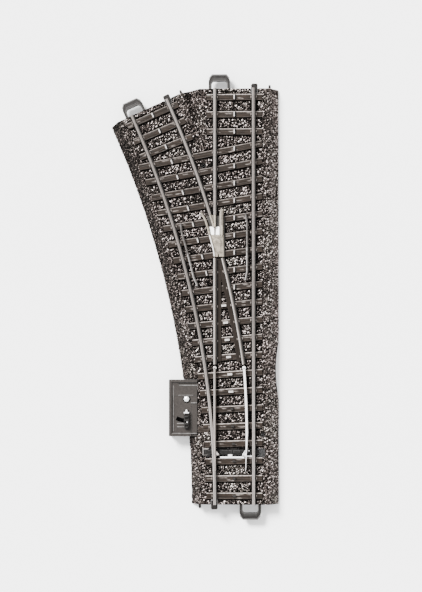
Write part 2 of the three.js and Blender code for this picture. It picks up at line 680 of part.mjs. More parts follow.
function leverCover() {
  const step = box(-30, -16, 30, PANEL_STEP_Y, PANEL_TOP - PANEL_STEP, RAIL_TOP);
  const recess = box(RECESS.left, -16, 30, RECESS.top, RECESS.floor, RAIL_TOP);
  const panel = plate(BOX_OUTLINE, BOX_TOP, PANEL_TOP).subtract(step);
  const inset = offsetOutline(BOX_OUTLINE, -RIM_WIDTH);
  const openSide = inset.map(([x, y]) => [x > -20 ? x + 2 : x, y]);
  const rim = plate(BOX_OUTLINE, PANEL_TOP - PANEL_STEP - 0.1, RIM_TOP)
    .subtract(plate(openSide, PANEL_TOP - 1, RIM_TOP + 1));
  const down = -Math.PI / 2;
  const spare = (NECK_RADIUS + 0.25) / LEVER_REACH;
  const slot = plate(arcBand(
    LEVER_X, LEVER_Y, LEVER_REACH - NECK_RADIUS - 0.25, LEVER_REACH + NECK_RADIUS + 0.25,
    down - LEVER_SWING - spare, down + spare,
  ), 6, 8);
  const groove = box(-25.3, -16.0, 54.0, 54.8, PANEL_TOP - 0.4, RIM_TOP + 1);
  const rivetHole = post(LEVER_X, LEVER_Y, RIVET_RADIUS + 0.05, 6, 8);
  return join(panel, rim).subtract(join(slot, groove, rivetHole, recess));
}

/** Lever inside the box: hub, arm to the handle's neck, and crank arm with its pin, about the hub. */
function leverArm() {
  const hub = join(
    post(0, 0, HUB_RADIUS, 4.4, 6.2),
    plate([[0, -1.2], [2.55, 1.0], [2.2, 1.9], [-0.8, 1.5]], 4.8, 6.2),
  );
  const handleArm = box(-0.8, 0.8, -LEVER_REACH, 0, 5.6, 6.2);
  const crankArm = box(-0.9, 0.9, 0, CRANK_REACH + 0.2, 5.6, 6.2);
  const crankPin = post(0, CRANK_REACH, 0.7, LINK_BOTTOM - 0.2, 6.0);
  const neck = post(0, -LEVER_REACH, NECK_RADIUS, 5.6, 8.3);
  return join(hub, handleArm, crankArm, crankPin, neck).subtract(post(0, 0, RIVET_RADIUS + 0.1, 4, 7));
}

function leverHandle() {
  const bar = plate([
    [-0.6, -13.5], [0.6, -13.5], [0.9, -13.1], [0.9, -4.9],
    [0.6, -4.5], [-0.6, -4.5], [-0.9, -4.9], [-0.9, -13.1],
  ], PANEL_TOP + 0.15, 8.9);
  const grip = box(-0.9, 0.9, -7.2, -4.9, 8.8, 9.4);
  return join(bar, grip).subtract(post(0, -LEVER_REACH, NECK_RADIUS + 0.05, 7, 8.4));
}

function leverRivet() {
  const head = post(0, 0, 1.25, PANEL_TOP + 0.02, PANEL_TOP + 0.45);
  return join(head, post(0, 0, RIVET_RADIUS, 2.0, PANEL_TOP + 0.2));
}

/** Leaf spring that holds the lever at either end of its travel. */
function detentSpring() {
  const points = [[-18.2, 47.75], [-18.35, 49.0], [-18.75, 49.9], [-18.35, 50.8], [-18.2, 51.2]];
  return plate(bandOutline(points.map(([x, y]) => new THREE.Vector2(x, y)), 0.3), 4.6, 6.0);
}

// ---------------------------------------------------------------- connectors

function connectorLoop() {
  const half = LOOP_WIDTH / 2;
  const outline = [
    [-half, -5.5], [half, -5.5], [half, LOOP_REACH - 1.2], [half - 1.2, LOOP_REACH],
    [-half + 1.2, LOOP_REACH], [-half, LOOP_REACH - 1.2],
  ].map(([x, y]) => [x + LOOP_CENTRE, y]);
  const hole = [[-3.4, 0.3], [-3.4, 3.7], [3.4, 3.7], [3.4, 0.3]].map(([x, y]) => [x + LOOP_CENTRE, y]);
  return plate(outline, 3.0, 4.8, [hole]);
}

function railJoiner() {
  return plate([
    [-1.55, -2.1], [1.55, -2.1], [1.55, 1.8], [1.05, 2.3], [-1.05, 2.3], [-1.55, 1.8],
  ].map(([x, y]) => [x + JOINER_CENTRE, y]), 6.9, 7.7);
}

// ---------------------------------------------------------------- assembly

const turnout = new THREE.Group();

/** Adds a solid as a named mesh, to the turnout or to a group placed inside it. */
function add(name, body, material, parent = turnout) {
  const { vertProperties, triVerts } = body.getMesh();
  const geometry = new THREE.BufferGeometry();
  geometry.setAttribute('position', new THREE.BufferAttribute(vertProperties, 3));
  geometry.setIndex(new THREE.BufferAttribute(triVerts, 1));
  geometry.computeVertexNormals();
  const mesh = new THREE.Mesh(geometry, material);
  mesh.name = name;
  parent.add(mesh);
}

/** A group inside the turnout, with its own place and turn about the vertical. */
function placed(x, y, turn = 0) {
  const group = new THREE.Group();
  group.position.set(x, y, 0);
  group.rotation.z = turn;
  turnout.add(group);
  return group;
}

add('roadbed', roadbed(), ballastPlastic);

add('stock_rail_straight', rail(straightTrack, RAIL_OFFSET, 0, LENGTH), railSteel);
add('stock_rail_curved', rail(curvedTrack, -RAIL_OFFSET, 0, CURVE_LENGTH, CURVE_STEPS), railSteel);
add('closure_rail_straight', rail(straightTrack, -RAIL_OFFSET, HEEL_END, CLOSURE_END), railSteel);
add('closure_rail_curved',
  curvedRail(RAIL_OFFSET, HEEL_END, curvedTrack.alongAtY(CLOSURE_END, RAIL_OFFSET), 4), railSteel);
add('exit_rail_straight', rail(straightTrack, -RAIL_OFFSET, EXIT_START, LENGTH), railSteel);
add('exit_rail_diverging', curvedRail(RAIL_OFFSET, EXIT_START, CURVE_LENGTH, 5), railSteel);
add('wing_rail', wingRail(), railSteel);
add('frog', frog(), frogMetal);
add('guard_rail_straight', guardRail(straightTrack, 5.9, 101, 131.5, -0.8), guardPlastic);
add('guard_rail_diverging', guardRail(curvedTrack, -5.9, 98.5, 126.8, 0.8), guardPlastic);
add('flangeway_strip_straight', flangewayStrip(straightTrack, -1), darkPlastic);
add('flangeway_strip_curved', flangewayStrip(curvedTrack, 1), darkPlastic);

add('blade_left', bladeLeft(), railSteel);
add('blade_right', bladeRight(), railSteel, placed(heels.right.x, heels.right.y, -BLADE_SWING));
add('blade_clip_left', bladeClip(), contactSteel, placed(heels.left.x, heels.left.y));
add('blade_clip_right', bladeClip(), contactSteel, placed(heels.right.x, heels.right.y, -BLADE_SWING));

add('throw_bar', throwBar(), darkPlastic);
add('drive_link', driveLink(), contactSteel);
add('throw_bar_guide', throwBarGuide(), darkPlastic);
GUIDE_SCREWS.forEach((x, i) => {
  add(`guide_screw_${i + 1}`, guideScrew(), contactSteel, placed(x, GUIDE_SCREW_Y));
});

add('lever_housing', leverHousing(), boxPlastic);
add('lever_cover', leverCover(), boxPlastic);
add('lever_arm', leverArm(), darkPlastic, placed(LEVER_X, LEVER_Y));
add('lever_handle', leverHandle(), boxPlastic, placed(LEVER_X, LEVER_Y));
add('lever_rivet', leverRivet(), frogMetal, placed(LEVER_X, LEVER_Y));
add('detent_spring', detentSpring(), contactSteel);

for (const which of ['shared', 'straight', 'diverging']) {
  add(`contact_strip_${which}`, contactStrip(which), contactSteel);
}
for (const [name, { position, heading }] of Object.entries(ends)) {
  const end = placed(position.x, position.y, heading);
  add(`connector_loop_${name}`, connectorLoop(), contactSteel, end);
  add(`rail_joiner_${name}`, railJoiner(), contactSteel, end);
}

export default turnout;
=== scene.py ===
import json
import math

import bmesh
import bpy
import numpy as np
from mathutils import Matrix, Vector


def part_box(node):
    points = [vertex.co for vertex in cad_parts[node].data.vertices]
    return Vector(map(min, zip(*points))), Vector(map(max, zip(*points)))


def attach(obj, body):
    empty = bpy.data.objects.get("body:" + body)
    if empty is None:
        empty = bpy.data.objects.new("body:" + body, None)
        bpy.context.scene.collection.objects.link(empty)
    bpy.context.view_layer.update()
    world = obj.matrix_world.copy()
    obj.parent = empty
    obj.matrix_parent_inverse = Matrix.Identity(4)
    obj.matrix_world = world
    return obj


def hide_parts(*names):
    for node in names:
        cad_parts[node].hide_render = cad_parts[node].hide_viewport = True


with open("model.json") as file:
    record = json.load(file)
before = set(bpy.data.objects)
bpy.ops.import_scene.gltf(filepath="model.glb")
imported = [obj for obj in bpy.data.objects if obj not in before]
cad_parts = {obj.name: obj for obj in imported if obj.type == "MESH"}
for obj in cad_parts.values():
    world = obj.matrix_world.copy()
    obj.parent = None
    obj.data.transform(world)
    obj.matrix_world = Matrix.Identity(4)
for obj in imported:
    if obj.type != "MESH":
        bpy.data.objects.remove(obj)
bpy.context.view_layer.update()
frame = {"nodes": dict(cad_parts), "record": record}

# Dimensions below are millimetres in the CAD frame, and meshes are scaled to metres as they are made.
MM = 0.001
SEED = 7


def rectangle(x0, x1, y0, y1):
    """A rectangle's corners, anticlockwise."""
    return [(x0, y0), (x1, y0), (x1, y1), (x0, y1)]


def mirrored(half):
    """Places on one side of x = 0 and then, in reverse, the same on its other side."""
    return half + [(-x, y) for x, y in reversed(half)]


# ---------------------------------------------------------------- dimensions from the frame

def node_box(name):
    """Lowest and highest corner of a CAD node, in millimetres."""
    low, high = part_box(name)
    return np.array(low) / MM, np.array(high) / MM


rail_low, rail_high = node_box("stock_rail_straight")
LENGTH = rail_high[1]
RAIL_OFFSET = (rail_low[0] + rail_high[0]) / 2
RAIL_BASE = rail_low[2]
RAIL_TOP = rail_high[2]
mount = next(m for m in frame["record"]["mounts"] if m["name"] == "diverging_end")
CURVE_ANGLE = math.atan2(-mount["axis"][0], mount["axis"][1])
CURVE_RADIUS = mount["pos_m"][0] / MM / (math.cos(CURVE_ANGLE) - 1)
CURVE_LENGTH = CURVE_RADIUS * CURVE_ANGLE

# The bed's section: half width at the foot, half width of the deck, and heights.
HALF_WIDTH = 20.0
SHOULDER = 15.8
BED_TOP = 7.6
LIP_TOP = 0.6
SLOPE_UP = 0.514  # upward part of the normal of the bed's sloping sides

SLEEPER_TOP = 8.0
SLEEPER_COUNT = 24
SHARED_SLEEPERS = 21
SLEEPER_PITCH = LENGTH / SLEEPER_COUNT
SLEEPER_REACH = 12.6

# What passes through the bed's top, and where the bed's right edge is drawn in.
SCALLOP_Y, SCALLOP_RADIUS, SCALLOP_DEPTH = 60.5, 61.5, 1.5
SLOT = rectangle(-14.6, 13.9, 21.4, 25.4)
BOX_PLAN = rectangle(-29.7, -16.9, 30.7, 56.3)
BOX_GAP = 0.3
FIXING_HOLES = ((12.9, 31.4), (-14.0, 153.1))
FIXING_HOLE_RADIUS, HEEL_HOLE_RADIUS = 1.4, 0.95

# Rails, blades and the linkage, in plan unless they are heights.
HEELS = ((-8.75, 61.6), (4.478, 61.6))
JOINER_CENTRE = 9.1
PIN_CENTRE = 15.9
LOOP_CENTRE = -7.0
HEEL_END, CLOSURE_END, EXIT_START = 63.2, 111.2, 130.8
GAUGE_SIDE, OUTER_SIDE = RAIL_OFFSET - 0.5, RAIL_OFFSET + 0.5
BLADE_BASE, BLADE_TIP, BAR_Y = 8.62, 15.3, 23.5
THROW = 2.4
GUARD_OFFSET, GUARD_FLARE = 5.9, 0.75
GUARD_SPANS = ((101, 131.5), (98.5, 126.8))
LEVER_PLACE = (-21.7, 47.5)
HANDLE_X = -21.6


class Track:
    """A centreline, straight or curved to the left. Places are (distance along, offset to the right)."""

    def __init__(self, radius=None, length=LENGTH):
        self.radius = radius
        self.length = length

    def point(self, along, offset=0.0):
        if self.radius is None:
            return np.array([offset, along])
        angle = along / self.radius
        reach = self.radius + offset
        return np.array([reach * math.cos(angle) - self.radius, reach * math.sin(angle)])

    def heading(self, along):
        return 0.0 if self.radius is None else along / self.radius

    def along_at_y(self, y, offset=0.0):
        return y if self.radius is None else self.radius * math.asin(y / (self.radius + offset))

    def at_y(self, y, offset=0.0):
        return self.point(self.along_at_y(y, offset), offset)

    def offset_of(self, x, y):
        """Offset to the right of the centreline, for arrays of places."""
        return x if self.radius is None else np.hypot(x + self.radius, y) - self.radius


STRAIGHT = Track()
CURVED = Track(CURVE_RADIUS, CURVE_LENGTH)
# Each end of the bed as (name, place, outward heading).
ENDS = (("toe", (0.0, 0.0), math.pi), ("straight", (0.0, LENGTH), 0.0),
        ("diverging", tuple(CURVED.point(CURVE_LENGTH)), CURVE_ANGLE))


def directions(heading):
    """Unit vectors to the right of a heading and along it."""
    return np.array([math.cos(heading), math.sin(heading)]), np.array([-math.sin(heading), math.cos(heading)])


def placed(position, heading, corners):
    """Plan places of corners that are given as (right, along) from a position with a heading."""
    right, along = directions(heading)
    return np.array([np.array(position) + right * x + along * y for x, y in corners])


def circle(x, y, radius, count=24):
    angles = np.arange(count) * 2 * math.pi / count
    return np.column_stack([x + radius * np.cos(angles), y + radius * np.sin(angles)])


# ---------------------------------------------------------------- materials

BUMP_DEPTH = 0.1 * MM
# Studs from here to there, in metres from the toe, go from dull to bright.
STUD_DULL, STUD_BRIGHT = 0.044, 0.048


def material(name):
    """A new node material, its node tree and its shader."""
    made = bpy.data.materials.new(name)
    made.use_nodes = True
    return made, made.node_tree, made.node_tree.nodes["Principled BSDF"]


def node(tree, kind, **inputs):
    """A new node with values on its inputs."""
    made = tree.nodes.new(kind)
    for key, value in inputs.items():
        made.inputs[key].default_value = value
    return made


def noise(tree, scale, detail=4.0, roughness=0.6, stretch=(1.0, 1.0, 1.0)):
    """Noise in the piece's own coordinates; scale is in features a metre."""
    place = tree.nodes.new("ShaderNodeTexCoord")
    mapping = node(tree, "ShaderNodeMapping", Scale=stretch)
    made = node(tree, "ShaderNodeTexNoise", Scale=scale, Detail=detail, Roughness=roughness)
    tree.links.new(place.outputs["Object"], mapping.inputs["Vector"])
    tree.links.new(mapping.outputs["Vector"], made.inputs["Vector"])
    return made.outputs["Fac"]


def ramp(tree, value, stops):
    """A colour ramp with (position, colour) stops."""
    made = tree.nodes.new("ShaderNodeValToRGB")
    elements = made.color_ramp.elements
    while len(elements) < len(stops):
        elements.new(0.5)
    for element, (position, colour) in zip(elements, stops):
        element.position = position
        element.color = (*colour, 1.0)
    tree.links.new(value, made.inputs["Fac"])
    return made.outputs["Color"]


def mix(tree, factor, first, second, blend="MIX"):
    """Mixes two colours, each a socket or a tuple, by a socket or a number."""
    made = tree.nodes.new("ShaderNodeMix")
    made.data_type = "RGBA"
    made.blend_type = blend
    for key, value in ((0, factor), (6, first), (7, second)):
        if isinstance(value, bpy.types.NodeSocket):
            tree.links.new(value, made.inputs[key])
        else:
            made.inputs[key].default_value = (*value, 1.0) if isinstance(value, tuple) else value
    return made.outputs[2]


def spread(tree, value, low, high, out_low, out_high):
    """A value's range stretched onto another, and clamped to it."""
    made = tree.nodes.new("ShaderNodeMapRange")
    made.clamp = True
    for key, number in zip(("From Min", "From Max", "To Min", "To Max"), (low, high, out_low, out_high)):
        made.inputs[key].default_value = number
    tree.links.new(value, made.inputs["Value"])
    return made.outputs["Result"]


def bump(tree, shader, height, strength):
    made = node(tree, "ShaderNodeBump", Strength=strength, Distance=BUMP_DEPTH)
    tree.links.new(height, made.inputs["Height"])
    tree.links.new(made.outputs["Normal"], shader.inputs["Normal"])


def attribute(tree, name):
    made = tree.nodes.new("ShaderNodeAttribute")
    made.attribute_name = name
    return made.outputs["Fac"]


def grey(value, warm=0.0):
    """A linear grey, redder by more than it is less blue."""
    return (value * (1 + 1.8 * warm), value, value * (1 - 1.1 * warm))


def ballast_material():
    made, tree, shader = material("ballast")
    # The stone mark holds each stone's tone, with painted highlight and shade on its facets and painted shade
    # beside sleepers and rails.
    stones = ramp(tree, attribute(tree, "stone"), (
        (0.0, grey(0.0004, 0.1)), (0.25, grey(0.0015, 0.1)), (0.5, grey(0.014, 0.1)),
        (0.7, grey(0.06, 0.09)), (0.85, grey(0.27, 0.07)), (1.0, grey(0.9, 0.04))))
    grit = ramp(tree, noise(tree, 2600, 3), ((0.3, grey(0.5)), (0.7, grey(1.0))))
    tint = ramp(tree, noise(tree, 90, 2), (
        (0.3, (1.0, 0.92, 0.93)), (0.55, (1.0, 0.97, 0.97)), (0.75, (0.97, 0.98, 0.94))))
    colour = mix(tree, 1.0, mix(tree, 0.8, stones, grit, "MULTIPLY"), tint, "MULTIPLY")
    tree.links.new(colour, shader.inputs["Base Color"])
    tree.links.new(spread(tree, noise(tree, 1500, 2), 0.3, 0.7, 0.55, 0.85), shader.inputs["Roughness"])
    shader.inputs["Specular IOR Level"].default_value = 0.02
    bump(tree, shader, noise(tree, 3800, 3), 0.5)
    return made


def tinted(made, tint):
    """Multiplies a material's colour by a colour or a socket."""
    tree = made.node_tree
    base = tree.nodes["Principled BSDF"].inputs["Base Color"]
    tree.links.new(mix(tree, 1.0, base.links[0].from_socket, tint, "MULTIPLY"), base)
    return made


def dulled_towards_toe(made):
    """Darkens a material near the toe."""
    tree = made.node_tree
    place = tree.nodes.new("ShaderNodeTexCoord")
    split = tree.nodes.new("ShaderNodeSeparateXYZ")
    tree.links.new(place.outputs["Object"], split.inputs["Vector"])
    along = spread(tree, split.outputs["Y"], STUD_DULL, STUD_BRIGHT, 0, 1)
    return tinted(made, ramp(tree, along, ((0.0, grey(0.06)), (1.0, grey(1.0)))))


def plastic_material(name, dark, light, rough=(0.45, 0.65), scale=700, stretch=(1.0, 1.0, 1.0),
                     edge=None, warm=0.08, bump_strength=0.25):
    """Moulded plastic: mottled colour, fine mould texture and paler edges, as wear and painted highlight."""
    made, tree, shader = material(name)
    mottle = noise(tree, scale, 5, 0.65, stretch)
    colour = ramp(tree, mottle, ((0.32, grey(dark, warm)), (0.68, grey(light, warm))))
    broad = ramp(tree, noise(tree, 60, 2), ((0.35, grey(0.8)), (0.65, grey(1.0))))
    colour = mix(tree, 1.0, colour, broad, "MULTIPLY")
    if edge is not None:
        wear_and_highlight = spread(tree, noise(tree, 900, 3), 0.35, 0.6, 0.35, 1.0)
        on_edge = tree.nodes.new("ShaderNodeMath")
        on_edge.operation = "MULTIPLY"
        tree.links.new(wear_and_highlight, on_edge.inputs[0])
        tree.links.new(attribute(tree, "edge"), on_edge.inputs[1])
        colour = mix(tree, on_edge.outputs[0], colour, grey(edge, warm * 0.25))
    tree.links.new(colour, shader.inputs["Base Color"])
    tree.links.new(spread(tree, noise(tree, 1200, 3), 0.3, 0.7, *rough), shader.inputs["Roughness"])
    shader.inputs["Specular IOR Level"].default_value = 0.1
    bump(tree, shader, noise(tree, 2600, 4, 0.6, stretch), bump_strength)
    return made


def metal_material(name, dark, light, rough=(0.3, 0.5), stretch=(1.0, 1.0, 1.0), edge=None, warm=0.04,
                   metallic=1.0, grime_and_shade=None, scale=900):
    """Metal with fine scratches along one direction, paler edges as wear and painted highlight, and brown
    grime that is also painted shade.
    """
    made, tree, shader = material(name)
    scratches = noise(tree, scale, 6, 0.7, stretch)
    colour = ramp(tree, scratches, ((0.3, grey(dark, warm)), (0.7, grey(light, warm))))
    if edge is not None:
        colour = mix(tree, attribute(tree, "edge"), colour, grey(edge, warm * 0.5))
    if grime_and_shade is not None:
        dirt_and_shade = attribute(tree, "grime_and_shade")
        colour = mix(tree, dirt_and_shade, colour, grime_and_shade)
        tree.links.new(spread(tree, dirt_and_shade, 0, 1, metallic, 0.15), shader.inputs["Metallic"])
    else:
        shader.inputs["Metallic"].default_value = metallic
    tree.links.new(colour, shader.inputs["Base Color"])
    polish = noise(tree, 1500, 4, 0.6, stretch)
    tree.links.new(spread(tree, polish, 0.3, 0.7, *rough), shader.inputs["Roughness"])
    bump(tree, shader, noise(tree, 3200, 3, 0.6, stretch), 0.12)
    return made


# Brown that the grime marks mix in: grime, and painted shade under rail heads, at the foot of bars and on the
# frog's floor.
RAIL_GRIME_AND_SHADE = (0.010, 0.008, 0.006)
ALONG = (5.0, 0.4, 1.0)
GRAIN = (0.35, 3.0, 1.0)

BALLAST = ballast_material()
BED = plastic_material("bed_plastic", 0.02, 0.034, edge=0.1)
SLEEPER = plastic_material("sleeper_plastic", 0.002, 0.0135, (0.4, 0.6), 500, GRAIN, 0.34, 0.28, 0.5)
BOX = plastic_material("box_plastic", 0.015, 0.026, (0.4, 0.6), 1500, edge=0.05, warm=0.09)
BOX_LINE = plastic_material("box_line_plastic", 0.02, 0.04, (0.4, 0.6), 1500, edge=0.16, warm=0.09)
DARK = plastic_material("dark_plastic", 0.002, 0.005, (0.35, 0.5), 800, edge=0.04)
STRIP = plastic_material("strip_plastic", 0.0032, 0.0062, (0.35, 0.5), 500, (4.0, 0.3, 1.0), 0.035, 0.32)
GUARD = plastic_material("guard_plastic", 0.012, 0.03, (0.35, 0.5), 600, (4.0, 0.4, 1.0), 0.45, 0.1)
HANDLE = plastic_material("handle_plastic", 0.001, 0.004, (0.3, 0.45), 900, edge=0.02, warm=0.15)
MARK = plastic_material("mark_plastic", 0.6, 0.8, (0.3, 0.45), 900, edge=0.85, warm=0.02)
STEEL = metal_material("rail_steel", 0.055, 0.115, (0.3, 0.5), ALONG, 0.9, 0.09, grime_and_shade=RAIL_GRIME_AND_SHADE)
# Near white and half metallic, so it reads bright from every side: polish and painted highlight on the
# blade's top, painted highlight on the tie rod and the frog's ramps.
BLADE = metal_material("blade_steel", 0.7, 0.9, (0.25, 0.42), ALONG, 0.95, 0.02, 0.5, RAIL_GRIME_AND_SHADE)
CAST = tinted(metal_material("cast_metal", 0.03, 0.33, (0.35, 0.55), edge=0.7, grime_and_shade=RAIL_GRIME_AND_SHADE, scale=700),
              (1.0, 0.93, 0.78))
SPRING = metal_material("contact_steel", 0.4, 0.65, (0.25, 0.4), edge=0.95)
BLACKENED = metal_material("blackened_steel", 0.012, 0.03, (0.3, 0.45), edge=0.3)
STUDS = dulled_towards_toe(metal_material("stud_steel", 0.5, 0.75, (0.25, 0.4), edge=0.95))
# Near white and only partly metallic, so the head reads white from every side: painted highlight on a plated
# rivet.
RIVET = metal_material("rivet_steel", 0.88, 0.95, (0.2, 0.3), edge=0.95, warm=0.0, metallic=0.4)


# ---------------------------------------------------------------- pieces

WELD = 0.002 * MM
FLAT_ANGLE, SHARP_ANGLE = math.radians(1), math.radians(25)


def linked(name, data):
    """A new object in the scene."""
    made = bpy.data.objects.new(name, data)
    bpy.context.scene.collection.objects.link(made)
    return made


def add_piece(name, mesh, look, slot, replaced=None, body="roadbed"):
    """Links a mesh as a piece that rides a body and may stand for a CAD node; the slot is not used."""
    mesh.materials.append(look)
    made = linked(name, mesh)
    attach(made, body)
    if replaced:
        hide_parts(replaced)


def float_attribute(mesh, name, values):
    layer = mesh.attributes.new(name, "FLOAT", "POINT")
    layer.data.foreach_set("value", np.asarray(values, np.float32))


class Shape:
    """Gathers closed lofts for one piece, in millimetres, with edge marks (wear and painted highlight) and
    grime marks (grime and painted shade) on the vertices.
    """

    def __init__(self):
        self.points, self.faces, self.edge, self.grime_and_shade = [], [], [], []

    def loft(self, rings, edge=None, grime_and_shade=None):
        """Joins rings of equal length, given anticlockwise seen from the last ring, and caps both ends."""
        rings = [np.asarray(ring, float) for ring in rings]
        count = len(rings[0])
        start = len(self.points)
        for ring in rings:
            self.points.extend(ring)
            self.edge.extend(np.zeros(count) if edge is None else edge)
            self.grime_and_shade.extend(np.zeros(count) if grime_and_shade is None else grime_and_shade)
        for i in range(len(rings) - 1):
            base = start + i * count
            for k in range(count):
                after = (k + 1) % count
                self.faces.append((base + k, base + after, base + count + after, base + count + k))
        self.faces.append(tuple(start + k for k in reversed(range(count))))
        last = start + (len(rings) - 1) * count
        self.faces.append(tuple(last + k for k in range(count)))

    def block(self, outline, bottom, top, chamfer=0.12, edge=1.0, grime_and_shade=0.0):
        """An upright prism with chamfered top edges, from an anticlockwise outline."""
        outline = np.asarray(outline, float)
        inner = inset(outline, chamfer)

        def level(plan, z):
            return np.column_stack([plan, np.full(len(plan), z)])

        start = len(self.points)
        count = len(outline)
        rings = [level(outline, bottom), level(outline, top - chamfer), level(inner, top)]
        marks = [0, 0.6 * edge, edge]
        if np.ptp(outline, axis=0).min() > 6 * chamfer:
            rings.append(level(inset(outline, 2 * chamfer), top))
            marks.append(0.1 * edge)
        self.loft(rings, grime_and_shade=np.full(count, grime_and_shade))
        self.edge[start:] = np.repeat(marks, count)

    def boxes(self, *rows):
        """Blocks, each as (x from, x to, y from, y to, bottom, top) and maybe chamfer and edge mark."""
        for x0, x1, y0, y1, *rest in rows:
            self.block(rectangle(x0, x1, y0, y1), *rest)

    def bar(self, left, right, bottom, top, chamfer=0.15, edges=(1.0, 0.4), low=0.0, tone=0.0):
        """A long bar with chamfered top edges, between two plan lines that run from one end to the other.

        Edges are the marks of its left and right edge, pale as wear and painted highlight; low is the grime
        and painted shade at its foot and tone the least of it."""
        rings = []
        for a, b in zip(np.asarray(left, float), np.asarray(right, float)):
            width = np.linalg.norm(b - a)
            side = (b - a) / width * min(chamfer, 0.2 * width)
            plan = [a, b, b, b - side, b - 2 * side, a + 2 * side, a + side, a]
            heights = (bottom, bottom, top - chamfer, top, top, top, top, top - chamfer)
            rings.append([(*place, z) for place, z in zip(plan, heights)])
        first, second = edges
        edge = np.array([0, 0, second, second * 0.8, second * 0.1, first * 0.1, first * 0.8, first])
        grime_and_shade = np.array([low, low, low * 0.6, 0, 0, 0, 0, low * 0.6])
        self.loft(rings[::-1], edge, np.maximum(grime_and_shade, tone))

    def slab(self, outline, bottom, tops, edge=0.0, grime_and_shade=0.0):
        """An upright prism from an anticlockwise outline, with a height of its own for each top corner."""
        plan = np.asarray(outline, float)
        rings = [np.column_stack([plan, np.full(len(plan), bottom)]), np.column_stack([plan, tops])]
        self.loft(rings, np.full(len(plan), edge), np.full(len(plan), grime_and_shade))

    def lathe(self, x, y, profile, edge=0.0, count=24):
        """A turned shape about an upright line, as (radius, height) rings from the lowest to the highest."""
        rings = [np.column_stack([circle(x, y, radius, count), np.full(count, z)]) for radius, z in profile]
        self.loft(rings, np.full(count, edge))

    def mesh(self, name):
        made = bpy.data.meshes.new(name)
        made.from_pydata((np.array(self.points) * MM).tolist(), [], self.faces)
        float_attribute(made, "edge", self.edge)
        float_attribute(made, "grime_and_shade", self.grime_and_shade)
        return made


def inset(outline, margin):
    """Moves each corner of an anticlockwise outline inwards, so that every side moves by the margin."""
    before = np.roll(outline, 1, axis=0)
    after = np.roll(outline, -1, axis=0)

    def inward(a, b):
        along = (b - a) / np.linalg.norm(b - a, axis=1, keepdims=True)
        return np.column_stack([-along[:, 1], along[:, 0]])

    first, second = inward(before, outline), inward(outline, after)
    both = first + second
    return outline + margin * both * 2 / np.maximum((both ** 2).sum(1, keepdims=True), 0.4)


def cad_arrays(name):
    """A CAD node's vertices in millimetres, and its polygons."""
    mesh = frame["nodes"][name].data
    points = np.empty(len(mesh.vertices) * 3)
    mesh.vertices.foreach_get("co", points)
    return points.reshape(-1, 3) / MM, [tuple(p.vertices) for p in mesh.polygons]


def bevelled(cad_name, look, slot, width):
    """A piece in a CAD node's shape, with its faces merged and its sharp edges rounded and marked as worn."""
    name = "fine_" + cad_name
    points, polygons = cad_arrays(cad_name)
    mesh = bpy.data.meshes.new(name)
    mesh.from_pydata((points * MM).tolist(), [], polygons)
    work = bmesh.new()
    work.from_mesh(mesh)
    bmesh.ops.remove_doubles(work, verts=work.verts, dist=WELD)
    bmesh.ops.dissolve_limit(work, angle_limit=FLAT_ANGLE, verts=work.verts, edges=work.edges)
    layer = work.faces.layers.float.new("edge")
    sharp = [e for e in work.edges if e.is_manifold and e.calc_face_angle(0) > SHARP_ANGLE]
    made = bmesh.ops.bevel(work, geom=sharp, offset=width * MM, offset_type="OFFSET", segments=2,
                           profile=0.5, affect="EDGES", clamp_overlap=True)
    for face in made["faces"]:
        face[layer] = 1.0
    bmesh.ops.recalc_face_normals(work, faces=work.faces)
    work.to_mesh(mesh)
    work.free()
    add_piece(name, mesh, look, slot, cad_name)


# ---------------------------------------------------------------- places along the track

def sleeper_places():
    """Each sleeper as (centre, heading of its length, half length)."""
    places = []
    for index in range(SHARED_SLEEPERS):
        y = (index + 0.5) * SLEEPER_PITCH
        heading = math.asin(y / CURVE_RADIUS)
        slant = heading / 2
        left = CURVE_RADIUS * (math.cos(heading) - 1) - SLEEPER_REACH
        middle = (left + SLEEPER_REACH) / 2
        half = (SLEEPER_REACH - left) / 2 / math.cos(slant)
        places.append(((middle, y + middle * math.tan(slant)), slant, half))
    for track in (STRAIGHT, CURVED):
        for index in range(SLEEPER_COUNT - SHARED_SLEEPERS):
            along = track.length - (index + 0.5) * SLEEPER_PITCH
            places.append((tuple(track.point(along)), track.heading(along), SLEEPER_REACH))
    return places


SLEEPERS = sleeper_places()


def rail_runs():
    """Each fixed rail as (CAD node, track, offset, from, to)."""
    heel, closure, frog_end = (CURVED.along_at_y(y, RAIL_OFFSET) for y in (HEEL_END, CLOSURE_END, EXIT_START))
    return (
        ("stock_rail_straight", STRAIGHT, RAIL_OFFSET, 0.0, LENGTH),
        ("stock_rail_curved", CURVED, -RAIL_OFFSET, 0.0, CURVE_LENGTH),
        ("closure_rail_straight", STRAIGHT, -RAIL_OFFSET, HEEL_END, CLOSURE_END),
        ("closure_rail_curved", CURVED, RAIL_OFFSET, heel, closure),
        ("exit_rail_straight", STRAIGHT, -RAIL_OFFSET, EXIT_START, LENGTH),
        ("exit_rail_diverging", CURVED, RAIL_OFFSET, frog_end, CURVE_LENGTH),
    )


SEARCH_STEPS = 160


def crossings(sleeper, track, offset, start, end):
    """The (place, heading) where a line beside a track crosses a sleeper, if between two distances along."""
    (cx, cy), slant, half = sleeper
    for reach in np.linspace(-half, half, SEARCH_STEPS + 1):
        x, y = cx + reach * math.cos(slant), cy + reach * math.sin(slant)
        along = track.along_at_y(y, offset)
        if start < along < end and abs(track.offset_of(x, y) - offset) <= half / SEARCH_STEPS:
            return [((x, y), track.heading(along))]
    return []


# ---------------------------------------------------------------- ballast

def smoothstep(low, high, value):
    t = np.clip((value - low) / (high - low), 0, 1)
    return t * t * (3 - 2 * t)


def bed_profile(offset):
    """Height of the bed's top at a distance from a track's centreline."""
    return np.interp(np.abs(offset), (SHOULDER, HALF_WIDTH), (BED_TOP, LIP_TOP))


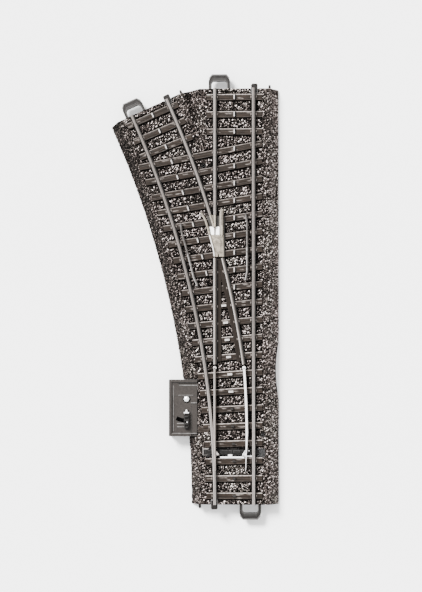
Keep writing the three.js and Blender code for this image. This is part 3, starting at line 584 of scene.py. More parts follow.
# Each layer of stones: spacing, seed, tilt, steepness, alternation.
COARSE = (0.5, SEED, 0.75, 2.6, 0.55)
FINE = (0.33, SEED + 1, 0.6, 2.2, 0.0)
COARSE_HEIGHT, FINE_HEIGHT = 0.85, 0.4
FIELD_SHIFT = 300


def stone_field(x, y, spacing, seed, tilt, steepness, alternation):
    """Height and shade of a bed of faceted stones, one to each jittered grid cell, at arrays of places.

    Alternation is how much of the shade goes by turns between neighbours, rather than at random."""
    rng = np.random.default_rng(seed)
    x, y = x + FIELD_SHIFT, y + FIELD_SHIFT
    grid = 512
    jitter = rng.uniform(-0.32, 0.32, (2, grid, grid))
    slope = rng.normal(0, tilt, (2, grid, grid))
    lift = rng.uniform(-0.22, 0.22, (grid, grid))
    size = rng.uniform(0.34, 0.56, (grid, grid)) * spacing
    turn = rng.uniform(0, math.pi, (grid, grid))
    checker = np.add.outer(np.arange(grid), np.arange(grid)) % 2
    shade = (1 - alternation) * rng.uniform(0, 1, (grid, grid)) + alternation * checker
    column, row = np.floor(x / spacing).astype(int), np.floor(y / spacing).astype(int)
    best = np.full(x.shape, -9.0)
    tone = np.zeros(x.shape)
    for across in (-1, 0, 1):
        for along in (-1, 0, 1):
            i, j = column + across, row + along
            ci, cj = i % grid, j % grid
            dx = x - (i + 0.5 + jitter[0, ci, cj]) * spacing
            dy = y - (j + 0.5 + jitter[1, ci, cj]) * spacing
            reach = np.zeros(x.shape)
            for side in range(3):
                angle = turn[ci, cj] + side * math.pi / 3
                reach = np.maximum(reach, np.abs(dx * np.cos(angle) + dy * np.sin(angle)))
            top = lift[ci, cj] + np.clip(dx * slope[0, ci, cj] + dy * slope[1, ci, cj], -0.35, 0.35)
            height = top - steepness * np.maximum(reach - size[ci, cj], 0)
            wins = height > best
            best = np.where(wins, height, best)
            tone = np.where(wins, shade[ci, cj], tone)
    return np.maximum(best, -0.5), tone


def cut_outlines():
    """Plan outlines of what passes through the bed's top, anticlockwise."""
    cuts = [inset(np.array(BOX_PLAN), -BOX_GAP), np.array(SLOT)]
    cuts += [circle(x, y, FIXING_HOLE_RADIUS) for x, y in FIXING_HOLES]
    cuts += [circle(x, y, HEEL_HOLE_RADIUS) for x, y in HEELS]
    for _, position, heading in ENDS:
        (centre,) = placed(position, heading, [(JOINER_CENTRE, -0.7)])
        cuts.append(placed(centre, heading, rectangle(-1.85, 1.85, -1.7, 1.7)))
    return cuts


CUTS = cut_outlines()


def inside(outline, x, y):
    """Whether places lie inside a closed outline."""
    result = np.zeros(x.shape, bool)
    for (ax, ay), (bx, by) in zip(outline, np.roll(outline, -1, axis=0)):
        crosses = (ay > y) != (by > y)
        with np.errstate(divide="ignore", invalid="ignore"):
            result ^= crosses & (x < (bx - ax) * (y - ay) / (by - ay) + ax)
    return result


def nearest_edge(outline, x, y):
    """Distance to an outline, and its nearest place."""
    best = np.full(x.shape, 1e9)
    near_x, near_y = x.copy(), y.copy()
    for (ax, ay), (bx, by) in zip(outline, np.roll(outline, -1, axis=0)):
        span = (bx - ax) ** 2 + (by - ay) ** 2
        t = np.clip(((x - ax) * (bx - ax) + (y - ay) * (by - ay)) / span, 0, 1)
        px, py = ax + t * (bx - ax), ay + t * (by - ay)
        distance = np.hypot(x - px, y - py)
        closer = distance < best
        best = np.where(closer, distance, best)
        near_x, near_y = np.where(closer, px, near_x), np.where(closer, py, near_y)
    return best, near_x, near_y


def rail_distance(x, y):
    """Distance to the nearest rail's centreline, in plan."""
    best = np.full(x.shape, 99.0)
    for _, track, offset, start, end in rail_runs():
        low, high = track.point(start, offset)[1], track.point(end, offset)[1]
        from_line = np.abs(track.offset_of(x, y) - offset)
        best = np.where((y > low - 1) & (y < high + 1), np.minimum(best, from_line), best)
    beside_blades = (y > BLADE_TIP - 0.3) & (y < HEEL_END + 1)
    for distance in (np.abs(x - HEELS[0][0]), np.abs(CURVED.offset_of(x, y) - RAIL_OFFSET)):
        best = np.where(beside_blades, np.minimum(best, distance), best)
    return best


def bed_shaping(x, y):
    """How far sleepers and rails lower the stones, what they leave of their height, and how much painted
    shade they put on them: under and below each sleeper, less above it, and beside the rails.
    """
    drop, calm, painted_shade = np.zeros(x.shape), np.ones(x.shape), np.zeros(x.shape)
    for (cx, cy), slant, half in SLEEPERS:
        a = (x - cx) * math.cos(slant) + (y - cy) * math.sin(slant)
        b = -(x - cx) * math.sin(slant) + (y - cy) * math.cos(slant)
        ends = 1 - smoothstep(half - 0.3, half + 0.3, np.abs(a))
        under = ends * (1 - smoothstep(1.25, 1.5, np.abs(b)))
        below = ends * smoothstep(-2.25, -1.75, b) * (1 - smoothstep(-1.5, -1.3, b))
        above = ends * smoothstep(1.3, 1.5, b) * (1 - smoothstep(1.7, 2.1, b))
        drop = np.maximum.reduce([drop, 0.55 * under, 0.4 * below, 0.3 * above])
        calm = np.minimum.reduce([calm, 1 - 0.9 * under, 1 - 0.6 * below, 1 - 0.5 * above])
        painted_shade = np.maximum.reduce([painted_shade, under, 1.2 * below, 0.5 * above])
    trench = 1 - smoothstep(0.9, 1.7, rail_distance(x, y))
    drop = np.maximum(drop, 0.35 * trench)
    calm = np.minimum(calm, 1 - 0.6 * trench)
    painted_shade = np.maximum(painted_shade, 0.8 * trench)
    return drop, calm, painted_shade


# Each stretch of the bed: share of the length from and to, rows, columns on the deck.
SEGMENTS = ((0.0, 0.35, 345, 118), (0.35, 0.7, 345, 146), (0.7, 1.0, 300, 188))
SLOPE_COLUMNS = 24
EDGE_INSET = 0.3
SNAP = 0.19
SHOULDER_LEAN, SLOPE_LEAN, LIP_LEAN = 0.4, math.radians(59), math.radians(31)
STAND_OUT = 0.28
SKIRT = 0.8
CORE_INSET = 0.4
CURVED_CENTRE = np.array([-CURVE_RADIUS, 0.0])


def scallop_edge(y):
    """The right-hand edge of the bed at each row."""
    centre = HALF_WIDTH - SCALLOP_DEPTH + SCALLOP_RADIUS
    square = SCALLOP_RADIUS ** 2 - (y - SCALLOP_Y) ** 2
    arc = centre - np.sqrt(np.maximum(square, 0))
    return np.where(square > 0, np.minimum(arc, HALF_WIDTH), HALF_WIDTH)


def half_bed(side, segment):
    """A stretch of half the ballast surface: side 1 is beside the straight track, -1 beside the curved one.

    Each row of points runs out over the deck, down the slope and down the lip."""
    first, last, rows, deck_columns = segment
    v = np.linspace(first, last, rows + 1)
    angle = np.maximum(CURVE_ANGLE * v, 1e-6)
    chord = np.maximum(LENGTH * v, 1e-6 * LENGTH / CURVE_ANGLE)
    if side > 0:
        middle = chord / np.tan(angle) - CURVE_RADIUS
        edge = scallop_edge(LENGTH * v) - EDGE_INSET
    else:
        middle = CURVE_RADIUS - chord / np.sin(angle)
        edge = np.full(v.shape, HALF_WIDTH - EDGE_INSET)
    # Distance out from the centreline, height, walk down from the deck, and lean of each point's normal.
    across_deck = np.linspace(0, 1, deck_columns + 1)[None, :]
    out_deck = middle[:, None] * (1 - across_deck) + SHOULDER * across_deck
    none = np.zeros(out_deck.shape)
    foot = bed_profile(edge + EDGE_INSET)[:, None]
    slope_width = edge[:, None] - SHOULDER
    slope_run = np.hypot(slope_width, BED_TOP - foot)
    walk = np.linspace(0, 1, SLOPE_COLUMNS + 1)[None, 1:] * (slope_run + foot)
    on_slope = np.minimum(walk / slope_run, 1)
    z_slope = BED_TOP - on_slope * (BED_TOP - foot) - np.maximum(walk - slope_run, 0)
    out = np.hstack([out_deck, SHOULDER + on_slope * slope_width])
    near_shoulder = smoothstep(SHOULDER - 0.5, SHOULDER + 0.3, out_deck) * SHOULDER_LEAN
    past_shoulder = SHOULDER_LEAN + (1 - SHOULDER_LEAN) * smoothstep(0, 0.5, walk)
    lean = np.hstack([near_shoulder, past_shoulder]) * SLOPE_LEAN
    lean = lean + np.hstack([none, smoothstep(-0.4, 0.4, walk - slope_run)]) * LIP_LEAN
    # Plan place and outward direction.
    along = np.broadcast_to((LENGTH if side > 0 else CURVE_ANGLE) * v[:, None], out.shape)
    if side > 0:
        x, y = out.copy(), along.copy()
        out_x, out_y = np.ones(out.shape), np.zeros(out.shape)
    else:
        x = (CURVE_RADIUS - out) * np.cos(along) - CURVE_RADIUS
        y = (CURVE_RADIUS - out) * np.sin(along)
        out_x, out_y = -np.cos(along), -np.sin(along)
    on_deck = np.zeros(out.shape, bool)
    on_deck[:, :deck_columns + 1] = True
    deck_top = np.maximum(bed_profile(STRAIGHT.offset_of(x, y)), bed_profile(CURVED.offset_of(x, y)))
    z = np.where(on_deck, deck_top, np.hstack([none, np.maximum(z_slope, 0)]))
    # Points near the edge of a cut-out are pulled onto it.
    rim = np.full(out.shape, 9.0)
    for outline in CUTS:
        distance, near_x, near_y = nearest_edge(outline, x, y)
        close = distance < SNAP
        x, y = np.where(close, near_x, x), np.where(close, near_y, y)
        rim = np.minimum(rim, np.where(close, 0, distance))
    # Stones, laid out as if the slope were unrolled.
    extra = np.where(on_deck, 0, np.hstack([none, walk]) - (out - SHOULDER))
    field_x, field_y = x + out_x * extra, y + out_y * extra
    coarse, tone = stone_field(field_x, field_y, *COARSE)
    fine, fleck = stone_field(field_x, field_y, *FINE)
    height = COARSE_HEIGHT * coarse + FINE_HEIGHT * fine
    # Slopes of the stones towards the key light, for painted highlight and shade on their facets.
    with np.errstate(divide="ignore"):
        up = np.gradient(height, axis=0) / np.gradient(field_y, axis=0)
    across = np.gradient(height, axis=1) / np.gradient(out + extra, axis=1)
    painted_facet_light = np.tanh(0.9 * (side * across - up))
    drop, calm, painted_shade = bed_shaping(x, y)
    drop, calm, painted_shade = (np.where(on_deck, value, rest) for value, rest in ((drop, 0), (calm, 1), (painted_shade, 0)))
    height = height * calm - drop
    # They lie low at the ends, at cut-outs and at the foot, so that nothing stands past the bed's box.
    from_end = np.minimum(v, 1 - v)[:, None] * LENGTH
    free = smoothstep(0.0, 0.6, np.minimum(rim, from_end))
    height = np.where(free < 1, np.maximum(height, -0.1) * (0.4 + 0.6 * free), height)
    total = slope_run + foot
    height = height * (1 - 0.3 * np.hstack([none, smoothstep(total - 1.2, total - 0.1, walk)]))
    push = np.minimum(height * np.sin(lean), STAND_OUT + 9 * (1 - np.hstack([none, on_slope])))
    points = np.stack([x + out_x * push, y + out_y * push, np.maximum(z + height * np.cos(lean), 0)], axis=-1)
    points[:, -1, 2] = 0
    points[:, :, 0] = np.minimum(points[:, :, 0], HALF_WIDTH - 0.01)
    # Shade: paler on the shoulders, and darker down the left slope towards the far end. Facets turned to the
    # key light get painted highlight, those turned away painted shade, and stones beside sleepers and rails
    # painted shade.
    shade = 0.55 * tone + 0.2 * fleck + 0.25 * (0.5 + 0.5 * painted_facet_light)
    from_track = np.minimum(np.abs(STRAIGHT.offset_of(x, y)), np.abs(CURVED.offset_of(x, y)))
    shoulder = smoothstep(SLEEPER_REACH - 0.3, SLEEPER_REACH + 0.5, from_track)
    contrast = 2.1 - 0.75 * shoulder
    level = 0.335 + (0.115 if side > 0 else 0.1) * shoulder
    slope_level = 0.57 if side > 0 else 0.47 - 0.12 * v[:, None]
    shade = np.clip(np.where(on_deck, level, slope_level) + contrast * (shade - 0.5), 0, 1)
    return points, shade * (1 - 0.6 * painted_shade)


def ballast_mesh(name, side, segment):
    """A stretch of the half bed, open over the cut-outs and with a short skirt round its rim."""
    points, shade = half_bed(side, segment)
    rows, columns = shade.shape
    index = np.arange(rows * columns).reshape(rows, columns)
    quads = np.stack([index[:-1, :-1], index[:-1, 1:], index[1:, 1:], index[1:, :-1]], axis=-1).reshape(-1, 4)
    if side < 0:
        quads = quads[:, ::-1]
    points, shade = points.reshape(-1, 3), shade.reshape(-1)
    x, y, _ = points[quads].mean(1).T
    quads = quads[~np.any([inside(outline, x, y) for outline in CUTS], axis=0)]
    # The skirt hangs from each boundary edge but those at the foot and along the seam between the halves.
    pairs = np.concatenate([quads[:, [k, (k + 1) % 4]] for k in range(4)])
    key = np.sort(pairs, axis=1) @ np.array([len(points), 1])
    _, first, count = np.unique(key, return_index=True, return_counts=True)
    rim = pairs[first[count == 1]]
    column = rim % columns
    rim = rim[~((column == 0).all(1) | (column == columns - 1).all(1))]
    used = np.unique(rim)
    lower = np.full(len(points), -1)
    lower[used] = len(points) + np.arange(len(used))
    under = np.maximum(points[used] - (0, 0, SKIRT), (-np.inf, -np.inf, 0))
    skirt = np.column_stack([rim[:, 1], rim[:, 0], lower[rim[:, 0]], lower[rim[:, 1]]])
    points = np.vstack([points, under])
    # The skirt takes the stones' shade, darker, as painted shade.
    shade = np.concatenate([shade, shade[used] * 0.6])
    quads = np.vstack([quads, skirt])
    kept, numbered = np.unique(quads, return_inverse=True)
    quads = numbered.reshape(quads.shape)
    mesh = bpy.data.meshes.new(name)
    mesh.from_pydata((points[kept] * MM).tolist(), [], quads.tolist(), shade_flat=False)
    mesh.validate()
    float_attribute(mesh, "stone", shade[kept])
    return mesh


def bed_core():
    """The roadbed's ends, walls and hollow underside, without the top that stones and sleepers stand for."""
    points, polygons = cad_arrays("roadbed")
    kept = []
    for polygon in polygons:
        corners = points[list(polygon)]
        normal = np.cross(corners[1] - corners[0], corners[2] - corners[0])
        up = normal[2] / max(np.linalg.norm(normal), 1e-12)
        if corners[:, 2].min() <= BED_TOP - 0.05 and abs(up - SLOPE_UP) >= 0.06:
            kept.append(polygon)
    # The foot is drawn in on both sides, behind the stones.
    outward = CURVED_CENTRE - points[:, :2]
    outward /= np.linalg.norm(outward, axis=1, keepdims=True)
    from_curve = -CURVED.offset_of(points[:, 0], points[:, 1])
    for offset, out in ((points[:, 0], (1.0, 0.0)), (from_curve, outward)):
        foot = (offset > HALF_WIDTH - 0.05) & (points[:, 2] < LIP_TOP + 0.1)
        points[:, :2] -= np.where(foot[:, None], np.multiply(out, CORE_INSET), 0)
    mesh = bpy.data.meshes.new("bed_core")
    mesh.from_pydata((points * MM).tolist(), [], kept)
    work = bmesh.new()
    work.from_mesh(mesh)
    bmesh.ops.delete(work, geom=[v for v in work.verts if not v.link_faces], context="VERTS")
    work.to_mesh(mesh)
    work.free()
    float_attribute(mesh, "edge", np.zeros(len(mesh.vertices)))
    return mesh


# ---------------------------------------------------------------- sleepers and rails

def wear_and_highlight_at(x, y):
    """How pale a sleeper's upper edge is, as painted highlight: most towards the toe and at the straight end.
    """
    return 1.0 if y < 84 or (y > 165 and x > -1) else 0.45


def sleepers_shape(rng):
    """Every sleeper: chamfered, with wood grain run along its top and a painted highlight along its upper
    (+y) edge.
    """
    shape = Shape()
    across = np.array([-1.4, -1.4, -1.28, -0.95, -0.62, -0.3, 0.02, 0.34, 0.66, 0.98, 1.12, 1.4, 1.4])
    fall = np.array([1.0, 0.2, 0.0, 0.0, 0.0, 0.0, 0.0, 0.0, 0.0, 0.0, 0.0, 0.3, 1.0])
    # Edge marks across the sleeper: painted highlight on the upper (+y) edge, a trace on the lower.
    wear_and_highlight = np.array([0, 0, 0.1, 0, 0, 0, 0, 0, 0, 0, 0.75, 1.0, 0])
    top = slice(2, 12)
    in_row, in_top = len(across), top.stop - top.start
    for (cx, cy), slant, half in SLEEPERS:
        length_dir, width_dir = directions(slant)
        steps = max(int(2 * half / 0.8), 4)
        grain = rng.normal(0, 0.035, in_top)
        rings = []
        drift = np.zeros(in_top)
        for step in range(steps + 1):
            a = -half + 2 * half * step / steps
            drift = 0.8 * drift + rng.normal(0, 0.018, in_top)
            z = SLEEPER_TOP - fall
            z[top] += np.clip(grain + drift, -0.09, 0.0) * (fall[top] == 0)
            ragged = rng.normal(0, 0.03, in_row) * (np.abs(across) > 1.2)
            plan = np.array([cx, cy]) + a * length_dir + np.outer(across + ragged, width_dir)
            rings.append(np.column_stack([plan, z]))
        start = len(shape.points)
        shape.loft(rings[::-1], edge=wear_and_highlight * rng.uniform(0.75, 1.0) * wear_and_highlight_at(cx, cy))
        for _ in range(int(half / 3)):
            row, first = rng.integers(3, 9), rng.integers(0, steps - 2)
            for step in range(first, min(first + rng.integers(2, 5), steps + 1)):
                shape.edge[start + step * in_row + row] = rng.uniform(0.2, 0.5)
    return shape


def head_section():
    """The rail's section as (right, up) anticlockwise, and marks of its left edge, right edge and grime, the
    last also painted shade on the web and foot under the head.
    """
    right = [(0.9, RAIL_BASE), (0.9, 8.22), (0.32, 8.5), (0.26, 8.7), (0.26, 9.2), (0.34, 9.36), (0.5, 9.5),
             (0.5, 10.02), (0.46, 10.17), (0.36, 10.26), (0.2, RAIL_TOP)]
    edge = [0, 0, 0, 0, 0, 0, 0.2, 0.5, 1.0, 0.7, 0.15]
    grime_and_shade = [1, 1, 1, 1, 1, 0.95, 0.7, 0.35, 0.05, 0, 0]
    right_marks = np.array(edge + [0] * len(edge))
    return np.array(mirrored(right)), right_marks[::-1], right_marks, np.array(grime_and_shade + grime_and_shade[::-1])


RING_SPACING = 2.5


def rail_wear_and_highlight(name, y):
    """How pale a rail head's left and right edges are, as wear and painted highlight: both at the toe, mostly
    the left one elsewhere.
    """
    if name.startswith("closure"):
        return 1.0, 0.05
    if name.startswith("exit"):
        return 0.4, 0.3
    return np.interp(y, (40, 80), (0.7, 0.22)), np.interp(y, (40, 80), (0.65, 0.16))


def rail_shape(name, track, offset, start, end):
    shape = Shape()
    section, left, right, grime_and_shade = head_section()
    rings, marks = [], []
    for along in np.linspace(start, end, max(int((end - start) / RING_SPACING), 3) + 1):
        rings.append([(*track.point(along, offset + side), up) for side, up in section])
        on_left, on_right = rail_wear_and_highlight(name, rings[-1][0][1])
        marks.append(on_left * left + on_right * right)
    shape.loft(rings[::-1], grime_and_shade=grime_and_shade)
    shape.edge = np.concatenate(marks[::-1])
    return shape


def chairs_shape():
    """Base plate and spring clips where each fixed rail crosses a sleeper."""
    shape = Shape()
    for sleeper in SLEEPERS:
        for _, track, offset, start, end in rail_runs():
            for place, heading in crossings(sleeper, track, offset, start + 0.8, end - 0.8):
                base = placed(place, heading, rectangle(-1.5, 1.5, -1.05, 1.05))
                shape.block(base, SLEEPER_TOP - 0.2, SLEEPER_TOP + 0.16, 0.08, 0.12)
                # The blades slide where the gauge side's clips would stand.
                gauge_side = -math.copysign(1, offset)
                for side in (-1, 1):
                    if side != gauge_side or place[1] >= HEEL_END + 1:
                        clip = rectangle(side * 1.12 - 0.275, side * 1.12 + 0.275, -0.5, 0.5)
                        # The clips' pale top edges are painted glints.
                        shape.block(placed(place, heading, clip), SLEEPER_TOP, SLEEPER_TOP + 0.62, 0.14, 0.4)
    return shape


def deck_details_shape():
    """The bridge plate beside the lever box."""
    shape = Shape()
    shape.boxes((-16.5, -11.3, 32.6, 34.7, 6.4, 7.95, 0.15, 0.08))
    return shape


def build_bed():
    rng = np.random.default_rng(SEED + 2)
    for side, route in ((1, "straight"), (-1, "diverging")):
        for number, segment in enumerate(SEGMENTS, 1):
            name = f"ballast_{route}_{number}"
            add_piece(name, ballast_mesh(name, side, segment), BALLAST, "ballast_plastic", "roadbed")
    add_piece("bed_core", bed_core(), BED, "ballast_plastic", "roadbed")
    for name, shape in (("sleepers", sleepers_shape(rng)), ("rail_chairs", chairs_shape()),
                        ("deck_details", deck_details_shape())):
        add_piece(name, shape.mesh(name), SLEEPER, "ballast_plastic")


def build_rails():
    for name, *run in rail_runs():
        mesh = rail_shape(name, *run).mesh("fine_" + name)
        add_piece("fine_" + name, mesh, STEEL, "rail_steel", name)


# ---------------------------------------------------------------- blades, frog, lever and connectors

def track_line(track, offset, y0, y1, steps):
    """Plan points along a line beside a track, between two values of y."""
    ends = [track.along_at_y(y, offset) for y in (y0, y1)]
    return [track.point(along, offset) for along in np.linspace(*ends, steps + 1)]


def even_bar(points, width):
    """Left and right plan lines of a bar of even width along a chain of points."""
    points = np.asarray(points, float)
    along = np.gradient(points, axis=0)
    along /= np.linalg.norm(along, axis=1, keepdims=True)
    across = np.column_stack([-along[:, 1], along[:, 0]]) * width / 2
    return points + across, points - across


def blade_shape(back, face, lug, heel, wear_and_highlight):
    """A switch blade between its back and its gauge face, with its lug, its round heel and its pivot. Its top
    edges are pale, as wear and painted highlight, most on the left.
    """
    shape = Shape()
    shape.bar(*((back, face) if back[0][0] < face[0][0] else (face, back)), BLADE_BASE, RAIL_TOP, 0.18, wear_and_highlight)
    shape.block(lug, BLADE_BASE, 9.6, 0.3, 0.6)
    pivot = [(0.6, 5.0), (0.6, 8.1), (0.5, 8.12), (0.78, 8.3), (0.78, RAIL_TOP - 0.2), (0.5, RAIL_TOP)]
    shape.lathe(*heel, pivot, 0.6)
    return shape


def left_blade():
    ys = np.array([BLADE_TIP, 19, BAR_Y, 28, 32, 42, 52, HEELS[0][1]])
    stock = np.array([CURVED.at_y(y, -GAUGE_SIDE)[0] for y in ys])
    back = np.column_stack([np.maximum(-OUTER_SIDE, stock + 0.1), ys])
    face = np.column_stack([np.full(len(ys), -GAUGE_SIDE), ys])
    lug = [(-8.3, 22.2), (-6.7, 22.2), (-7.1, 23.1), (-8.3, 24.5)]
    return blade_shape(back, face, lug, HEELS[0], (1.0, 0.1))


def right_blade():
    """Drawn closed against the straight stock rail, then turned open."""
    swing = -math.asin(THROW / (HEELS[1][1] - BAR_Y))
    face = np.array(track_line(CURVED, GAUGE_SIDE, BLADE_TIP, HEELS[1][1], 8))
    back = np.array(track_line(CURVED, OUTER_SIDE, BLADE_TIP, HEELS[1][1], 8))
    back[:, 0] = np.minimum(back[:, 0], GAUGE_SIDE - 0.1)
    middle = np.interp(BAR_Y, face[:, 1], face[:, 0])
    corners = ((0.2, 22.2), (0.2, 24.9), (-0.3, 24.7), (-1.5, 22.7), (-1.5, 22.2))
    lug = [(middle + x, y) for x, y in corners]
    face, back, lug = (placed(HEELS[1], swing, np.subtract(part, HEELS[1])) for part in (face, back, lug))
    return blade_shape(face, back, lug, HEELS[1], (1.0, 0.45))


def tie_rod_shape():
    """The rod across the blades, bright as painted highlight, with the boss that joins it to the throw bar.
    """
    shape = Shape()
    shape.boxes((-6.4, 4.5, 20.9, 21.7, 8.1, 8.56, 0.12), (-2.8, -1.0, 21.6, 22.6, 7.4, 8.5, 0.15),
                (4.3, 8.0, 21.5, 22.1, 7.2, 7.95, 0.12), (6.2, 6.9, 24.0, 24.6, 7.1, 7.95, 0.1))
    return shape


def throw_bar_shape():
    """The sliding bar in its slot, stepped along its length, with the peg for the drive link."""
    shape = Shape()
    shape.boxes((-14.0, 11.2, 22.3, 24.7, 6.2, 7.2, 0.2, 0.5))
    for *plan, top in ((-6.3, -1.2, 22.9, 24.5, 7.55), (-0.6, 2.6, 23.4, 24.4, 7.6),
                       (5.8, 7.6, 22.9, 23.9, 7.6), (-13.2, -9.8, 22.7, 24.3, 7.5),
                       (9.2, 10.8, 22.8, 24.2, 7.5)):
        shape.boxes((*plan, 7.0, top, 0.12, 0.9))
    shape.lathe(-13.0, BAR_Y, [(0.75, 4.6), (0.75, 6.3)])
    return shape


def frog_shapes():
    """The frog's floor, dark with grime and painted shade, its pale casting, and its ramps and the line along
    its edge, bright as painted highlight.
    """
    floor, casting, ramps = Shape(), Shape(), Shape()
    floor.block([(-8.0, 111.75), (-4.15, 111.75), (-4.3, 118), (-4.3, 130.4), (-12.6, 130.4), (-10.75, 124),
                 (-8.0, 114.5)], 8.05, 8.55, 0.05, 0, 1.0)
    casting.block([(-8.7, 111.8), (-7.45, 111.8), (-7.35, 112.9), (-6.95, 112.9), (-6.85, 111.8),
                   (-5.7, 111.8), (-6.2, 118), (-6.4, 121.8), (-10.6, 121.8), (-9.0, 114.6)],
                  8.4, 9.25, 0.1, 0.3)
    casting.bar([(-6.1, 111.8), (-6.5, 118), (-6.5, 121.8)], [(-4.6, 111.8), (-4.8, 118), (-4.8, 121.8)],
                8.1, 9.4, 0.25, (0.05, 0.35), 0.3, 0.2)
    casting.bar([(-6.55, 121.8), (-6.55, 131.4), (-6.1, 133.2)],
                [(-4.9, 121.8), (-4.9, 131.4), (-4.7, 133.2)], 8.1, 10.2, 0.3, (1.0, 0.15), 0.7, 0.5)
    casting.boxes((-5.85, -5.35, 121.2, 126, 10.0, 10.29, 0.08))
    casting.bar(*even_bar([(-8.75, 121.9), (-8.8, 125.5)], 0.65), 8.3, 9.6, 0.1, (0.2, 0.1), 0.4, 0.5)
    casting.bar([(-9.0, 125.4), (-9.15, 130.7)], [(-8.3, 125.4), (-8.25, 130.7)],
                8.3, RAIL_TOP, 0.2, (1.0, 0.3), 0.8)
    left_leg = track_line(CURVED, RAIL_OFFSET, 125.4, 130.6, 4)
    casting.bar(*even_bar(left_leg, 0.85), 8.3, RAIL_TOP, 0.2, (1.0, 0.2), 0.8, 0.15)
    casting.slab([(-9.2, 126.2), (-9.0, 126.2), (-9.15, 130.6), (-10.4, 130.6)], 8.3, [9.7] * 4, 0, 0.6)
    for outline in ([(-10.35, 121.8), (-9.1, 121.8), (-9.1, 125.4), (-11.35, 125.4)],
                    [(-8.4, 121.8), (-6.75, 121.8), (-6.75, 125.4), (-8.4, 125.4)]):
        ramps.slab(outline, 8.1, [9.3, 9.3, 8.75, 8.75], 1.0)
    edge = [(-9.0, 112), (-9.1, 113.2), *track_line(CURVED, GAUGE_SIDE - 2.45, 115, 121.5, 4)]
    ramps.bar(*even_bar(edge, 0.4), 8.2, 9.97, 0.08, (1.0, 1.0))
    return floor, casting, ramps


def wing_rail_shape():
    """The left wing rail: along the plate's edge, beside the nose, and flared away at its end."""
    offset = GAUGE_SIDE - 2.2
    flare = CURVED.point(CURVED.along_at_y(132.1, offset), offset - 0.85)
    points = [(-8.75, 111.8), (-8.85, 113.2), *track_line(CURVED, offset, 115, 128, 6), flare]
    shape = Shape()
    left, right = even_bar(points, 0.9)
    slim = np.linspace(0.5, 1.0, 7)[:, None]
    shape.bar(left[:7], left[:7] + slim * (right[:7] - left[:7]), 8.1, 9.9, 0.15, (1.0, 0.1), 0.4, 0.1)
    shape.bar(left[6:], right[6:], 8.1, RAIL_TOP, 0.15, (0.9, 0.1), 0.9, 0.35)
    return shape


def guard_shape(track, offset, y0, y1, flare):
    """A guard rail with both ends flared away from its stock rail."""
    start, end = (track.point(track.along_at_y(y, offset), offset + flare) for y in (y0 + 0.1, y1 - 0.1))
    points = [start, *track_line(track, offset, y0 + 4, y1 - 4, 6), end]
    left, right = even_bar(points, 0.8)
    shape = Shape()
    # Its left edge is pale as painted highlight, most over the first part.
    shape.bar(left[:5], right[:5], 8.05, 10.0, 0.2, (1.0, 0.2), 0.5)
    shape.bar(left[4:], right[4:], 8.05, 10.0, 0.2, (0.35, 0.1), 0.5)
    return shape


def strip_shape(side):
    """Smooth strip on the gauge side of a closure rail, up to the frog where the two strips meet."""
    shape = Shape()
    near, far = [], []
    for y in np.linspace(HEEL_END + 1.3, CLOSURE_END - 0.2, 25):
        rails = (-RAIL_OFFSET, CURVED.at_y(y, RAIL_OFFSET)[0])
        middle = (rails[0] + rails[1]) / 2
        start = rails[0] + 0.95 if side < 0 else rails[1] - 0.95
        width = min(1.9, abs(middle - start) - 0.03)
        near.append((start, y))
        far.append((start - side * max(width, 0.1), y))
    lines = (near, far) if side < 0 else (far, near)
    shape.bar(*lines, BED_TOP, 8.4, 0.12, (0.4, 0.4))
    return shape


def loop_shape(position, heading):
    """A connector loop: two side bars and a broad crossbar with slanted corners, a rim and a ridge."""
    half, reach = 4.9, 7.08

    def plan(corners):
        return placed(position, heading, [(LOOP_CENTRE + x, y) for x, y in corners])

    outer = plan(mirrored([(-half, -5.4), (-half, reach - 2.9), (0.4 - half, reach - 1.9),
                           (1.5 - half, reach)]))
    inner = plan(mirrored([(-3.5, -5.4), (-3.5, 2.6), (-3.2, 3.3), (-2.6, 3.7)]))
    rim = plan(mirrored([(half - 0.35, reach - 2.0), (half - 1.6, reach - 0.35)]))
    shape = Shape()
    shape.bar(outer, inner, 3.0, 4.6, 0.3, (0.1, 0.5))
    shape.bar(*even_bar(rim, 0.65), 4.4, 4.78, 0.12, (1.0, 1.0))
    shape.bar(*even_bar(plan(mirrored([(2.9, 4.6)])), 0.7), 4.4, 4.72, 0.12, (0.4, 0.4))
    return shape


def pins_shape():
    """A collar round each locating pin, where it leaves the end of the bed."""
    shape = Shape()
    for _, position, heading in ENDS:
        collar = placed(position, heading, rectangle(PIN_CENTRE - 0.575, PIN_CENTRE + 0.575, -0.25, 1.35))
        shape.block(collar, 3.05, 4.4, 0.25, 0.2)
    return shape


def cover_details_shape():
    """Raised lines on the lever box's cover, pale along their tops as painted highlight."""
    shape = Shape()
    for *box, edge in (
            (-27.7, -27.5, 33.0, 53.6, 6.7, 7.1, 0.8), (-25.6, -18.6, 49.1, 49.35, 6.8, 7.12, 0.8),
            (-19.7, -17.0, 45.6, 45.95, 6.8, 7.2, 1.0), (-26.0, -23.0, 36.3, 36.65, 6.6, 7.0, 1.0),
            (-26.0, -21.0, 34.8, 35.1, 6.6, 7.0, 1.0), (-28.2, -16.9, 31.9, 32.15, 7.3, 7.59, 1.0),
            (-25.0, -17.0, 53.5, 53.75, 6.9, 7.2, 1.0)):
        shape.boxes((*box, 0.06, edge))
    return shape


